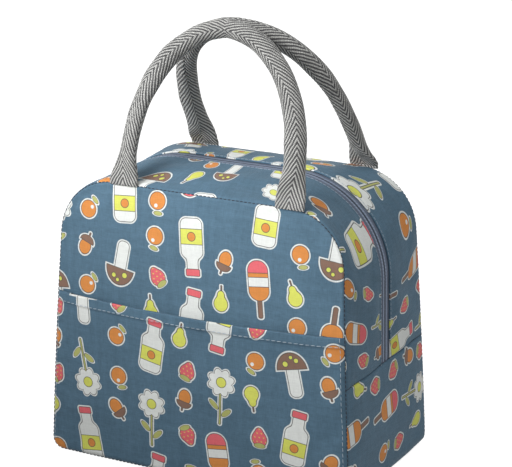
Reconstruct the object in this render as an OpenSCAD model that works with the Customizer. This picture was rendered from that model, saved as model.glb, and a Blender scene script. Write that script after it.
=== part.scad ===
// Soft insulated lunch bag: padded front and back panels, a zipped top gusset,
// a lower gusset round the base, a slip pocket and two webbing carry handles.
// Millimetres. X runs to the bag's right, Y to its back, Z up.
// The origin is on the ground, at the middle of the base.

/* [Body] */
// Width across the base
base_w = 230; // [190:5:280]
// Depth across the base, from front seam to back seam
base_d = 127; // [105:1:170]
// Height of the seam along the top of the front and back panels
panel_h = 198; // [170:2:240]
// How far each side leans in from the base to the top
side_taper = 10; // [4:1:16]
// Radius of the panels' top corners
panel_corner_r = 41; // [30:1:50]
// Radius of the panels' bottom corners
base_corner_r = 8; // [6:0.5:12]
// Radius of the gentle bulge of the front and back faces
face_bulge_r = 2240; // [1600:20:4000]

/* [Zip gusset] */
// Height of the side seams, where the zip gusset meets the lower gusset
side_seam_z = 81; // [60:1:100]
// Rise of the zip line above the panels' top seam
zip_crown = 8; // [3:0.5:12]
// Radius of the corners along the zip line
zip_corner_r = 68; // [50:1:75]
// How far the zip line stands out past the panels' sides at the top
zip_swell = 4; // [0:0.5:6]
// Width of zip tape that shows between the folded cloth edges
zip_band = 14; // [10:0.5:20]
// Slot between the two rows of coil, where the slider's post runs
zip_slot = 1.2; // [1:0.1:2]
// Lap of the tape under the gusset cloth
tape_lap = 4.5; // [3:0.5:8]
// Thickness of the zip tape
tape_t = 0.6; // [0.4:0.1:1]
// Width of one row of coil
coil_w = 2.4; // [1.5:0.1:3]
// Thickness of the coil, under the tape
coil_t = 1.6; // [1:0.1:2.5]

/* [Layers] */
// Thickness of the outer cloth
cloth_t = 0.7; // [0.5:0.1:1.2]
// Thickness of the foam
foam_t = 3; // [2:0.25:5]
// Thickness of the foil lining
lining_t = 0.4; // [0.3:0.1:0.8]
// Width of the binding tape sewn over the inside seams
binding_w = 9; // [6:0.5:14]
// Thickness of the binding tape
binding_t = 0.8; // [0.5:0.1:1.5]
// How much further in than the cloth's edge the panels' foam and lining stop
edge_in = 0.7; // [0.5:0.1:1.5]
// Clearance left between sewn layers
seam_gap = 0.1; // [0.05:0.05:0.2]
// Clearance between pieces that move apart
fold_gap = 0.3; // [0.2:0.05:0.6]

/* [Pocket] */
// Height of the pocket's mouth at its ends
pocket_h = 117; // [104:1:140]
// How far the mouth stands out from the panel at its middle
pocket_bulge = 7; // [5:0.5:12]
// Thickness of the pocket cloth
pocket_t = 0.9; // [0.6:0.1:1.5]
// Depth of the folded and stitched hem
hem_h = 7; // [5:0.5:10]
// Extra thickness of the hem
hem_t = 0.8; // [0.4:0.1:1.2]

/* [Handles] */
// Distance between the middles of a handle's two ends
handle_spacing = 124; // [90:2:140]
// How far both handles are sewn to the right of the middle
handle_shift = 5; // [-8:1:8]
// Rise of the front handle over its foot
handle_rise = 104; // [80:2:130]
// How much lower the back handle's top lies, since it leans in further
back_handle_drop = 2.5; // [0:0.5:6]
// Where the two grips meet, behind the middle (less than 0 is in front of it)
grip_meet_y = -16; // [-24:1:24]
// Gap between the two grips
grip_gap = 2; // [0.5:0.5:8]
// Width of the webbing where it is folded flat and sewn in
strap_w = 21; // [16:1:26]
// Thickness of the webbing
webbing_t = 1.5; // [1:0.1:2]
// Outer radius of the webbing round its cord at the grip
grip_r = 6.4; // [6:0.1:8]
// Width of the legs, where the webbing is half open
leg_w = 14.8; // [12:0.2:17]
// Thickness of the legs
leg_t = 10.4; // [8:0.2:12]
// How far each leg turns outward between the seam and the grip, in degrees
leg_twist = 38; // [0:2:60]
// Height over the foot at which the folded webbing has opened into a leg
leg_from = 22; // [16:1:30]
// Height over the foot at which the leg starts to close into the round grip
grip_from = 45; // [32:1:55]
// Height over the foot at which the grip is fully round
grip_to = 95; // [70:1:100]
// Height over the foot at which the cord inside the webbing starts
cord_from = 60; // [50:1:75]
// How far outside the seam the webbing leaves it
foot_out = 0.5; // [0.3:0.1:1.5]
// How far the sewn ends reach down inside the seam
tab_depth = 14; // [8:1:20]

/* [Zip slider] */
// Length of the slider along the zip
slider_l = 12; // [9:0.5:16]
// Width of the slider
slider_w = 10; // [8:0.5:13]
// How much narrower its inner plate is on each side
inner_plate_in = 1; // [0:0.25:1.5]
// Height of the parked slider's middle above the side seam
slider_park = 9.5; // [8.5:0.5:40]
// Thickness of each of the slider's two plates
slider_plate_t = 1.4; // [1:0.1:2]
// Length of the pull tab
pull_l = 26; // [15:1:34]
// Width of the pull tab
pull_w = 7; // [5:0.5:9]
// Thickness of the pull tab
pull_t = 1.2; // [0.9:0.1:2]
// Radius of the wire ear that holds the pull
ear_r = 0.9; // [0.7:0.1:1.2]

/* [Hidden] */

// Grid counts of the curved sheets
side_steps = 2;
corner_steps = 6;
top_steps = 8;
foot_steps = 3;
pocket_steps = 4;

// Layers from the outside in: where each starts and how thick it is
layer_t = [cloth_t, foam_t, lining_t];
layer_at = [0, cloth_t, cloth_t + foam_t];
wall_t = cloth_t + foam_t + lining_t;

panel_slope = side_taper / panel_h;
zip_h = panel_h + zip_crown;
zip_slope = panel_slope - zip_swell / (panel_h - side_seam_z);
side_seam_x = base_w / 2 - panel_slope * side_seam_z;

middle_bulge = pow(base_w / 2, 2) / (2 * face_bulge_r);

// Zip: depths under the gusset's surface, and places across the zip
tape_d = cloth_t;
coil_d = tape_d + tape_t;
slot_y = zip_slot / 2;
lap_y = zip_band / 2 + tape_lap;
stop_l = 2.5;
stop_t = 1;

// Zip slider
slider_z = side_seam_z + slider_park;
slider_play = 0.35;
post_l = 3;
post_w = zip_slot - 2 * fold_gap;
outer_plate_x = tape_d - slider_play - slider_plate_t;
inner_plate_x = coil_d + coil_t + slider_play;
ear_h = 6.4;
ear_w = 3.2;
ear_wall = 0.4;
pin_play = 0.15;
pin_out = ear_r + pin_play + 0.25;
ear_out = pin_out + ear_r + pin_play + ear_wall;
cheek_l = 5.6;
cheek_w = 1.2;

// Bindings: depth under the surface, and distance in from the panels' outer face
binding_d = wall_t + fold_gap;
binding_in = wall_t + seam_gap;

// Handles
handle_steps = 18;
handle_sides = 12;
cord_sides = 8;
// The webbing's folded end turns about this line, just above and outside the seam
end_r = webbing_t + 0.1;
handle_foot_z = panel_h + fold_gap + end_r;
handle_foot_y = face_y(handle_spacing / 2, panel_h) - foot_out;
// Shape of an arch: how round its top is, how square its shoulders are, how late it
// leans in, how far it leans, and how high it rises
grip_apart = grip_gap / 2 + grip_r;
FRONT_ARCH = [1.14, 0.71, 1.02, grip_meet_y - grip_apart - handle_foot_y, handle_rise];
BACK_ARCH = [0.96, 0.66, 1.03, -grip_meet_y - grip_apart - handle_foot_y, handle_rise - back_handle_drop];

// ---- Outlines in the plane of the panels ----

// An outline's side is a line [x at height z0, z0, slope], its top a height, and
// its corner a radius.
PANEL = [[base_w / 2, 0, panel_slope], panel_h, panel_corner_r];
ZIPLINE = [[side_seam_x, side_seam_z, zip_slope], zip_h, zip_corner_r];

function lean(o) = atan(o[0][2]);
// Centre of the corner arc that touches both the side and the top
function corner_at(o) =
  let (a = lean(o), reach = o[0][0] * cos(a) + o[0][1] * sin(a))
  [(reach - o[2] - (o[1] - o[2]) * sin(a)) / cos(a), o[1] - o[2]];
// The height of the outline above x, set in by d
function top_z(o, x, d) =
  let (c = corner_at(o), r = o[2] - d, u = max(0, abs(x) - c[0])) c[1] + sqrt(max(0, r * r - u * u));
// The side at height z, set in by d
function side_x(o, z, d) = o[0][0] - o[0][2] * (z - o[0][1]) - d / cos(lean(o));

// Right half of an outline from height z0 up to the start of its flat top
function rise(o, z0, d) =
  let (a = lean(o), c = corner_at(o), r = o[2] - d, z1 = c[1] + r * sin(a))
  concat(
    [for (i = [0:side_steps - 1]) let (z = z0 + (z1 - z0) * i / side_steps) [side_x(o, z, d), z]],
    [for (i = [0:corner_steps]) let (f = a + (90 - a) * i / corner_steps) c + r * [cos(f), sin(f)]]
  );

// Right half of the panels' foot, from the flat base up to the side seam
function foot(d, z1) =
  let (
    a = lean(PANEL), r = base_corner_r, q = r - d,
    cx = (base_w / 2 * cos(a) - r - r * sin(a)) / cos(a)
  )
  concat(
    [for (i = [0:foot_steps]) let (f = -90 + (90 + a) * i / foot_steps) [cx + q * cos(f), r + q * sin(f)]],
    [for (i = [1:side_steps]) let (z0 = r + q * sin(a), z = z0 + (z1 - z0) * i / side_steps)
      [side_x(PANEL, z, d), z]]
  );

function mirrored(p) = [for (i = [len(p) - 1:-1:0]) [-p[i][0], p[i][1]]];
function across(p, n) = [for (i = [1:n - 1]) [p[0] * (1 - 2 * i / n), p[1]]];
// Whole outline over the top, from the right side seam to the left one
function over(o, z0, d) =
  let (r = rise(o, z0, d)) concat(r, across(r[len(r) - 1], top_steps), mirrored(r));
// Whole outline round the base, from the left side seam to the right one
function under(d, z1) =
  let (r = foot(d, z1)) concat(mirrored(r), across([-r[0][0], r[0][1]], top_steps), r);

// ---- Faces ----

// Outer face of the front panel
function face_y(x, z) = -(base_d / 2 + middle_bulge) + (x * x + z * z) / (2 * face_bulge_r);
// How far the pocket stands out from it
function pocket_out(x, z) =
  let (u = x / side_x(PANEL, z, 0), w = z / pocket_h) pocket_bulge * (1 - u * u) * w * w;

// ---- Sheets: closed solids between two grids of points ----

function quad(a, b, c, d, flip) = flip ? [[a, d, b], [a, c, d]] : [[a, b, d], [a, d, c]];
module sheet(under_grid, over_grid) {
  m = len(under_grid);
  n = len(under_grid[0]);
  k = m * n;
  polyhedron(
    points = [for (g = [under_grid, over_grid]) for (row = g) each row],
    faces = concat(
      [for (i = [0:m - 2]) for (j = [0:n - 2]) let (a = i * n + j) each quad(a, a + 1, a + n, a + n + 1, false)],
      [for (i = [0:m - 2]) for (j = [0:n - 2]) let (a = k + i * n + j) each quad(a, a + 1, a + n, a + n + 1, true)],
      [for (j = [0:n - 2]) each quad(j, j + 1, k + j, k + j + 1, true)],
      [for (j = [0:n - 2]) let (a = (m - 1) * n + j) each quad(a, a + 1, k + a, k + a + 1, false)],
      [for (i = [0:m - 2]) let (a = i * n) each quad(a, a + n, k + a, k + a + n, false)],
      [for (i = [0:m - 2]) let (a = i * n + n - 1) each quad(a, a + n, k + a, k + a + n, true)]
    ),
    convexity = 6
  );
}

// Rows of a panel-shaped sheet: one row of points across for each outline point
function rows(half, depth_in) =
  [for (p = half) [for (i = [0:top_steps]) let (x = p[0] * (2 * i / top_steps - 1)) [x, face_y(x, p[1]) + depth_in, p[1]]]];

// How far a layer's edge stops inside the panel's outline
function inset(layer) = layer_at[layer] + (layer > 0 ? edge_in : 0);
// One layer of the front panel above or below the fold
module panel_layer(half, layer) {
  sheet(rows(half, layer_at[layer]), rows(half, layer_at[layer] + layer_t[layer] - seam_gap));
}
module upper_layer(layer) {
  panel_layer(rise(PANEL, side_seam_z + fold_gap / 2, inset(layer)), layer);
}
module lower_layer(layer) {
  panel_layer(foot(inset(layer), side_seam_z - fold_gap / 2), layer);
}
module to_back() {
  mirror([0, 1, 0]) children();
}

// A point at depth y on the zip gusset, between the panel's outline and the zip line.
// The gusset crowns as a parabola from the seam, at seam_y, to the zip, at y = 0.
function crowned(panel_p, zip_p, seam_y, y) =
  let (v = pow(y / seam_y, 2), p = zip_p * (1 - v) + panel_p * v) [p[0], y, p[1]];
// Rows of points round the bag at depth d under its surface, with one point for each
// y in the list that columns makes from the seam's own y
function strip(d, columns) =
  let (z0 = side_seam_z + fold_gap / 2, f = over(PANEL, z0, d), m = over(ZIPLINE, z0, d))
  [for (i = [0:len(f) - 1])
    let (seam_y = face_y(f[i][0], f[i][1]))
    [for (y = columns(seam_y)) crowned(f[i], m[i], seam_y, y)]];
module strip_sheet(d, t, columns) {
  sheet(strip(d, columns), strip(d + t, columns));
}

// Cloth, foam or lining of the front half of the zip gusset. The cloth runs on to the
// folded edge beside the zip, over the tape; the foam and the lining stop at the tape.
module zip_gusset_layer(layer) {
  start = layer_at[layer] + layer_t[layer];
  ends = layer == 0 ? [-lap_y, -zip_band / 2] : [-lap_y - seam_gap];
  strip_sheet(layer_at[layer], layer_t[layer] - seam_gap, function(seam_y)
    concat([seam_y + start, (2 * seam_y - lap_y) / 3, (seam_y - 2 * lap_y) / 3], ends));
}

// A strip round the base at depth d, reaching both panels
function base_strip(d, behind) =
  [for (p = under(d, side_seam_z - fold_gap / 2))
    let (y = face_y(p[0], p[1]) + behind)
    [for (j = [0:2]) [p[0], y * (1 - j), p[1]]]];
module base_layer(layer) {
  d = layer_at[layer];
  t = layer_t[layer];
  sheet(base_strip(d, d + t), base_strip(d + t - seam_gap, d + t));
}

// ---- Outer cloth, foam and lining ----

module lower_gusset() {
  color("#56697c") base_layer(0);
}
module lower_gusset_foam() {
  color("#d9d9d4") base_layer(1);
}
module lower_gusset_lining() {
  color("#c4c8cc") base_layer(2);
}
module front_panel_lower() {
  color("#64798c") lower_layer(0);
}
module front_foam_lower() {
  color("#d9d9d4") lower_layer(1);
}
module front_lining_lower() {
  color("#c4c8cc") lower_layer(2);
}
module back_panel_lower() {
  to_back() front_panel_lower();
}
module back_foam_lower() {
  to_back() front_foam_lower();
}
module back_lining_lower() {
  to_back() front_lining_lower();
}
module front_panel_upper() {
  color("#64798c") upper_layer(0);
}
module front_foam_upper() {
  color("#d9d9d4") upper_layer(1);
}
module front_lining_upper() {
  color("#c4c8cc") upper_layer(2);
}
module back_panel_upper() {
  to_back() front_panel_upper();
}
module back_foam_upper() {
  to_back() front_foam_upper();
}
module back_lining_upper() {
  to_back() front_lining_upper();
}
module front_zip_gusset() {
  color("#56697c") zip_gusset_layer(0);
}
module front_zip_gusset_foam() {
  color("#d9d9d4") zip_gusset_layer(1);
}
module front_zip_gusset_lining() {
  color("#c4c8cc") zip_gusset_layer(2);
}
module back_zip_gusset() {
  to_back() front_zip_gusset();
}
module back_zip_gusset_foam() {
  to_back() front_zip_gusset_foam();
}
module back_zip_gusset_lining() {
  to_back() front_zip_gusset_lining();
}

// ---- Pocket ----

function pocket_rows(half, out) =
  [for (p = half) [for (i = [0:top_steps])
    let (x = p[0] * (2 * i / top_steps - 1))
    [x, face_y(x, p[1]) - pocket_out(x, p[1]) - out, p[1]]]];
function straight_side(z0, z1, n) =
  [for (i = [0:n]) let (z = z0 + (z1 - z0) * i / n) [side_x(PANEL, z, 0), z]];
module pocket_sheet(half, gap, t) {
  sheet(pocket_rows(half, gap + t), pocket_rows(half, gap));
}
module pocket_lower() {
  color("#64798c") pocket_sheet(foot(0, side_seam_z - fold_gap / 2), seam_gap, pocket_t);
}
module pocket_upper() {
  color("#64798c") pocket_sheet(straight_side(side_seam_z + fold_gap / 2, pocket_h, 4), seam_gap, pocket_t);
}
// The mouth's hem, folded over to the front and stitched down
module pocket_hem() {
  color("#64798c")
    pocket_sheet(straight_side(pocket_h - hem_h, pocket_h, 2), 2 * seam_gap + pocket_t, hem_t);
}

// ---- Zip ----

module front_zip_tape() {
  color("#5d6478") strip_sheet(tape_d, tape_t - seam_gap, function(seam_y) [-lap_y, -slot_y]);
}
module back_zip_tape() {
  to_back() front_zip_tape();
}
module front_zip_coil() {
  color("#2e3440") strip_sheet(coil_d, coil_t, function(seam_y) [-slot_y - coil_w, -slot_y]);
}
module back_zip_coil() {
  to_back() front_zip_coil();
}

// The zip's straight left side: X points into the bag from its outer face, Z along the zip
module on_left_side(z) {
  translate([-side_x(ZIPLINE, z, 0), 0, z]) rotate([0, lean(ZIPLINE), 0]) children();
}
module plate(x, w) {
  translate([x, -w / 2, -slider_l / 2]) cube([slider_plate_t, w, slider_l]);
}
module zip_slider() {
  color("#7f858c") on_left_side(slider_z) {
    plate(outer_plate_x, slider_w);
    plate(inner_plate_x, slider_w - 2 * inner_plate_in);
    translate([outer_plate_x, -post_w / 2, -slider_l / 2])
      cube([inner_plate_x - outer_plate_x + slider_plate_t / 2, post_w, post_l]);
    difference() {
      translate([outer_plate_x - ear_out, -ear_w / 2, -ear_h / 2])
        cube([ear_out + slider_plate_t / 2, ear_w, ear_h]);
      translate([outer_plate_x - pin_out, 0, 0]) rotate([90, 0, 0])
        cylinder(r = ear_r + pin_play, h = slider_w, center = true, $fn = 48);
    }
  }
}
// The pull hangs from a cross pin through the slider's ear
module zip_pull() {
  color("#8d9399") on_left_side(slider_z) translate([outer_plate_x - pin_out, 0, 0]) {
    rotate([90, 0, 0]) cylinder(r = ear_r, h = pull_w, center = true, $fn = 48);
    for (side = [0, 1]) mirror([0, side, 0])
      translate([-ear_r, pull_w / 2 - cheek_w, -cheek_l]) cube([pull_t, cheek_w, cheek_l]);
    translate([-ear_r, -pull_w / 2, -pull_l]) cube([pull_t, pull_w, pull_l - cheek_l + pin_play]);
  }
}
// Stop on the inner side of one row of coil, at the far foot of the zip
module front_zip_stop() {
  color("#7f858c") mirror([1, 0, 0]) on_left_side(side_seam_z + fold_gap)
    translate([coil_d + coil_t + seam_gap, -slot_y - coil_w, 0]) cube([stop_t, coil_w, stop_l]);
}
module back_zip_stop() {
  to_back() front_zip_stop();
}

// ---- Bindings over the inside seams ----

module front_binding() {
  color("#3f4650") strip_sheet(binding_d, binding_t, function(seam_y)
    [seam_y + binding_in, seam_y + binding_in + binding_w]);
}
module back_binding() {
  to_back() front_binding();
}
function base_binding_grid(d) =
  [for (p = under(d, side_seam_z - fold_gap / 2))
    let (y = face_y(p[0], p[1]) + binding_in) [for (w = [0, binding_w]) [p[0], y + w, p[1]]]];
module base_bindings() {
  color("#3f4650") for (side = [0, 1]) mirror([0, side, 0])
    sheet(base_binding_grid(wall_t + seam_gap), base_binding_grid(wall_t + seam_gap + binding_t));
}
// Tape along the top of the lower gusset, on each side
function side_binding_grid(d) =
  let (z1 = side_seam_z - fold_gap / 2, y = face_y(side_seam_x, z1) + binding_in + binding_w + fold_gap)
  [for (z = [z1, z1 - binding_w]) [for (k = [y, -y]) [-side_x(PANEL, z, d), k, z]]];
module side_seam_bindings() {
  color("#3f4650") for (side = [0, 1]) mirror([side, 0, 0])
    sheet(side_binding_grid(wall_t + seam_gap), side_binding_grid(wall_t + seam_gap + binding_t));
}

// ---- Handles ----

// Point of an arch at angle a, from 0 at its right foot to 180 at its left one.
// Seen from the front; the back handle is mirrored into place.
function arch(shape, a) =
  let (c = cos(a), up = pow(max(0, sin(a)), shape[1]))
  [
    handle_shift + handle_spacing / 2 * sign(c) * pow(abs(c), shape[0]),
    handle_foot_y + shape[3] * pow(up, shape[2]),
    handle_foot_z + shape[4] * up
  ];
// Angles that space the rings evenly along an arch
function arch_angles(n) =
  concat([for (i = [0:n]) 90 * pow(i / n, 1.5)], [for (i = [n - 1:-1:0]) 180 - 90 * pow(i / n, 1.5)]);
function smooth(t) = let (k = min(1, max(0, t))) k * k * (3 - 2 * k);
// How far the folded webbing has opened into a leg, and a leg into the round grip, at
// height h above its foot
function opened(h) = smooth(h / leg_from);
function gripped(h) = smooth((h - grip_from) / (grip_to - grip_from));
// Half width and half thickness of the webbing there
function strap_half(h) = [
  strap_w / 2 + (leg_w - strap_w) / 2 * opened(h) + (grip_r - leg_w / 2) * gripped(h),
  webbing_t + (leg_t / 2 - webbing_t) * opened(h) + (grip_r - leg_t / 2) * gripped(h)
];
function unit(v) = v / norm(v);
// Ring of points round an arch at angle a, with half width and depth set in by d
function ring(shape, a, d, sides) =
  let (
    e = 0.4,
    p = arch(shape, a),
    way = a < e || a > 180 - e ? [0, 0, a < 90 ? 1 : -1] : unit(arch(shape, a + e) - arch(shape, a - e)),
    h = p[2] - handle_foot_z,
    turn = (a < 90 ? 1 : -1) * leg_twist * opened(h) * (1 - gripped(h)),
    face = [-sin(turn), cos(turn), 0],
    thick_way = unit(face - way * (face * way)),
    width_way = cross(thick_way, way),
    half = strap_half(h)
  )
  [for (i = [0:sides - 1]) let (f = 360 * (i + 0.5) / sides)
    p + width_way * (half[0] - d) * cos(f) + thick_way * (half[1] - d) * sin(f)];
module tube(rings) {
  m = len(rings);
  n = len(rings[0]);
  polyhedron(
    points = [for (r = rings) each r],
    faces = concat(
      [[for (j = [0:n - 1]) j]],
      [[for (j = [n - 1:-1:0]) (m - 1) * n + j]],
      [for (i = [0:m - 2]) for (j = [0:n - 1])
        let (a = i * n + j, b = i * n + (j + 1) % n) each [[a, a + n, b], [b, a + n, b + n]]]
    ),
    convexity = 8
  );
}
module cord(shape, d) {
  tube([for (a = arch_angles(handle_steps)) if (arch(shape, a)[2] > handle_foot_z + cord_from)
    ring(shape, a, d, cord_sides)]);
}
module strap(shape) {
  difference() {
    tube([for (a = arch_angles(handle_steps)) ring(shape, a, 0, handle_sides)]);
    cord(shape, webbing_t);
  }
  for (side = [-1, 1])
    translate([handle_shift + side * handle_spacing / 2, handle_foot_y, handle_foot_z])
      rotate([0, 90, 0]) cylinder(r = end_r, h = strap_w, center = true, $fn = 32);
}
module front_handle() {
  color("#b9bab6") strap(FRONT_ARCH);
}
module back_handle() {
  color("#b9bab6") to_back() strap(BACK_ARCH);
}
module front_handle_cord() {
  color("#e4e2da") cord(FRONT_ARCH, webbing_t + seam_gap);
}
module back_handle_cord() {
  color("#e4e2da") to_back() cord(BACK_ARCH, webbing_t + seam_gap);
}
// The webbing's sewn ends, inside the bag on the panel's lining
module front_handle_ends() {
  x1 = (handle_spacing + strap_w) / 2 + abs(handle_shift);
  z1 = top_z(PANEL, x1, binding_d + binding_t) - 2 * fold_gap;
  y = face_y(x1, z1) + binding_in;
  color("#b9bab6") for (side = [-1, 1])
    translate([handle_shift + side * handle_spacing / 2 - strap_w / 2, y, z1 - tab_depth])
      cube([strap_w, 2 * webbing_t, tab_depth]);
}
module back_handle_ends() {
  to_back() front_handle_ends();
}

lower_gusset();
lower_gusset_foam();
lower_gusset_lining();
front_panel_lower();
front_foam_lower();
front_lining_lower();
back_panel_lower();
back_foam_lower();
back_lining_lower();
pocket_lower();
base_bindings();
side_seam_bindings();
front_panel_upper();
front_foam_upper();
front_lining_upper();
back_panel_upper();
back_foam_upper();
back_lining_upper();
pocket_upper();
pocket_hem();
front_zip_gusset();
front_zip_gusset_foam();
front_zip_gusset_lining();
back_zip_gusset();
back_zip_gusset_foam();
back_zip_gusset_lining();
front_zip_tape();
back_zip_tape();
front_zip_coil();
back_zip_coil();
front_zip_stop();
back_zip_stop();
front_binding();
back_binding();
front_handle();
back_handle();
front_handle_cord();
back_handle_cord();
front_handle_ends();
back_handle_ends();
zip_slider();
zip_pull();
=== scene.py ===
"""Dresses a soft insulated lunch bag round its packed model.

Each piece is built in millimetres from the sizes below and placed in metres in the
model's own frame: X to the bag's right, Y to its back, Z up, ground at Z = 0.
"""

import math
from functools import partialmethod
from types import SimpleNamespace

import bpy
import numpy as np
from bpy.props import FloatProperty, FloatVectorProperty, PointerProperty
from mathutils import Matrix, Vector


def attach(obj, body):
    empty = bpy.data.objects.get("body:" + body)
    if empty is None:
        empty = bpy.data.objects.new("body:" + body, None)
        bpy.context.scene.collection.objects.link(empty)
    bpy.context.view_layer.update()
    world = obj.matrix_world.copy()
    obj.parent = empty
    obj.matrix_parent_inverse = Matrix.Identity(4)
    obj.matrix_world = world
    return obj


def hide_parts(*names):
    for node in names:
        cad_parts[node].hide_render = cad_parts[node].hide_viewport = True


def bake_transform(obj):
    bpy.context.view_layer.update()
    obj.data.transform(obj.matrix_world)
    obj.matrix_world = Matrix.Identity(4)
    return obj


bl_info = {
    "name": "Lunch bag",
    "version": (1, 0, 0),
    "blender": (4, 5, 0),
    "location": "3D View > Sidebar > Lunch bag",
    "description": "Builds the cloth, zip, handles and trim of a soft insulated lunch bag",
    "category": "Object",
}

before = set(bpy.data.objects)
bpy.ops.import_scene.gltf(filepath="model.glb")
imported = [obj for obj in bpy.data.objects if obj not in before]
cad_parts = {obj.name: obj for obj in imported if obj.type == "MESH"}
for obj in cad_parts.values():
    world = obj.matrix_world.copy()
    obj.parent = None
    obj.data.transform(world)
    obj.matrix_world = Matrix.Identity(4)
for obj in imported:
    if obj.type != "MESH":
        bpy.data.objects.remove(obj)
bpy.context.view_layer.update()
MM = 0.001
WHERE = ("front", "back")


# ---- Sizes and colours ----


def size(name, default, description):
    """A length in millimetres, kept in metres."""
    return FloatProperty(
        name=name,
        description=description,
        default=default * MM,
        subtype="DISTANCE",
        unit="LENGTH",
        precision=4,
    )


def linear(*rgb):
    """A colour from screen values of 0 to 255."""
    return tuple(
        c / 255 / 12.92 if c <= 10 else ((c / 255 + 0.055) / 1.055) ** 2.4 for c in rgb
    )


def colour(name, rgb, description):
    return FloatVectorProperty(
        name=name,
        description=description,
        default=linear(*rgb),
        size=3,
        min=0,
        max=1,
        subtype="COLOR",
    )


class LunchBagBody(bpy.types.PropertyGroup):
    """Sizes of the bag's body."""

    base_w: size("Base width", 230, "Width across the base")
    base_d: size("Base depth", 127, "Depth across the base, from seam to seam")
    panel_h: size("Panel height", 198, "Height of the panels' top seam")
    side_taper: size("Side taper", 10, "How far each side leans in by the top")
    panel_corner_r: size("Top corner", 41, "Radius of the panels' top corners")
    base_corner_r: size("Bottom corner", 8, "Radius of the panels' bottom corners")
    face_bulge_r: size("Face bulge", 2240, "Radius of the faces' gentle bulge")
    side_seam_z: size("Side seam", 81, "Height of the seam below the zip gusset")
    wall_t: size("Wall", 4.1, "Thickness of cloth, foam and lining together")
    puff: size("Puff", 0.7, "How far the padding stands out past the seams")
    seam_r: size("Seam roll", 2.2, "Radius to which the cloth rolls into a seam")
    seam_groove: size("Seam groove", 1.0, "Half width of the groove along a seam")
    seam_sink: size("Seam depth", 0.4, "Depth at which the seams' stitches lie")
    pucker: size("Pucker", 0.35, "Depth of the small puckers beside the seams")
    fold_low: size("Fold start", 84, "Height at which the opening top starts to bend")
    fold_high: size("Fold end", 160, "Height above which the top bends no more")
    binding_w: size("Binding width", 9, "Width of the tape over the inside seams")
    binding_t: size("Binding thickness", 0.8, "Thickness of that tape")


class LunchBagZip(bpy.types.PropertyGroup):
    """Sizes of the zip, its gusset and its slider."""

    crown: size("Crown", 8, "Rise of the zip line above the panels' top seam")
    corner_r: size("Corner", 68, "Radius of the zip line's corners")
    swell: size("Swell", 4, "How far the zip line stands out past the panels")
    band: size("Band", 14, "Width of tape between the folded cloth edges")
    slot: size("Slot", 1.2, "Slot between the two rows of coil")
    lap: size("Lap", 4.5, "Lap of the tape under the cloth")
    cloth_t: size("Cloth", 0.7, "Thickness of the gusset's cloth over the tape")
    tape_t: size("Tape", 0.6, "Thickness of the tape")
    coil_w: size("Coil width", 2.4, "Width of one row of coil")
    coil_t: size("Coil thickness", 1.6, "Thickness of the coil, under the tape")
    coil_pitch: size("Coil pitch", 1.35, "Distance between turns of the coil")
    lip_r: size("Lip", 0.6, "Radius of the folded cloth edge beside the tape")
    stop_l: size("Stop", 2.5, "Length of the stop at the zip's far foot")
    slider_l: size("Slider length", 12, "Length of the slider along the zip")
    slider_w: size("Slider width", 10, "Width of the slider")
    slider_park: size("Slider place", 9.5, "Height of the slider above the side seam")
    plate_t: size("Plate", 1.4, "Thickness of each slider plate")
    pull_l: size("Pull length", 26, "Length of the pull tab")
    pull_w: size("Pull width", 7, "Width of the pull tab")
    pull_t: size("Pull thickness", 1.2, "Thickness of the pull tab")


class LunchBagPocket(bpy.types.PropertyGroup):
    """Sizes of the slip pocket."""

    height: size("Height", 117, "Height of the mouth at its ends")
    bulge: size("Bulge", 7, "How far the mouth stands out at its middle")
    cloth_t: size("Cloth", 0.9, "Thickness of the pocket's cloth")
    hem_h: size("Hem", 7, "Depth of the folded hem")
    hem_t: size("Hem thickness", 0.8, "Extra thickness of the hem")
    stitch_l: size("Stitch", 3.0, "Length of one stitch")
    stitch_gap: size("Stitch gap", 0.9, "Gap between stitches")
    stitch_r: size("Thread", 0.22, "Radius of the sewing thread")


class LunchBagHandles(bpy.types.PropertyGroup):
    """Sizes of the two carry handles."""

    spacing: size("Spacing", 124, "Distance between the middles of a handle's ends")
    shift: size("Shift", 5, "How far both handles are sewn to the right")
    rise: size("Rise", 104, "Rise of the front handle over its foot")
    back_drop: size("Back drop", 2.5, "How much lower the back handle's top lies")
    meet_y: size("Meeting line", -16, "Where the two grips meet, behind the middle")
    grip_gap: size("Grip gap", 2, "Gap between the two grips")
    strap_w: size("Folded width", 21, "Width where the webbing is sewn in")
    webbing_t: size("Webbing", 1.5, "Thickness of the webbing")
    grip_r: size("Grip radius", 6.4, "Outer radius at the grip")
    leg_w: size("Leg width", 14.8, "Width of the legs")
    leg_t: size("Leg thickness", 10.4, "Thickness of the legs")
    leg_from: size("Leg start", 22, "Height at which the fold has opened")
    grip_from: size("Grip start", 45, "Height at which the leg starts to close")
    grip_to: size("Grip end", 95, "Height at which the grip is round")
    foot_out: size("Foot offset", 0.5, "How far outside the seam the webbing leaves it")
    rib: size("Rib", 0.16, "Height of the woven ribs")
    rib_pitch: size("Rib pitch", 1.95, "Distance from one woven rib to the next")
    column_w: size("Chevron width", 11.5, "Width of one half of a chevron")
    lap_t: size("Overlap", 0.9, "Step where the webbing's edge laps over itself")


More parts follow.
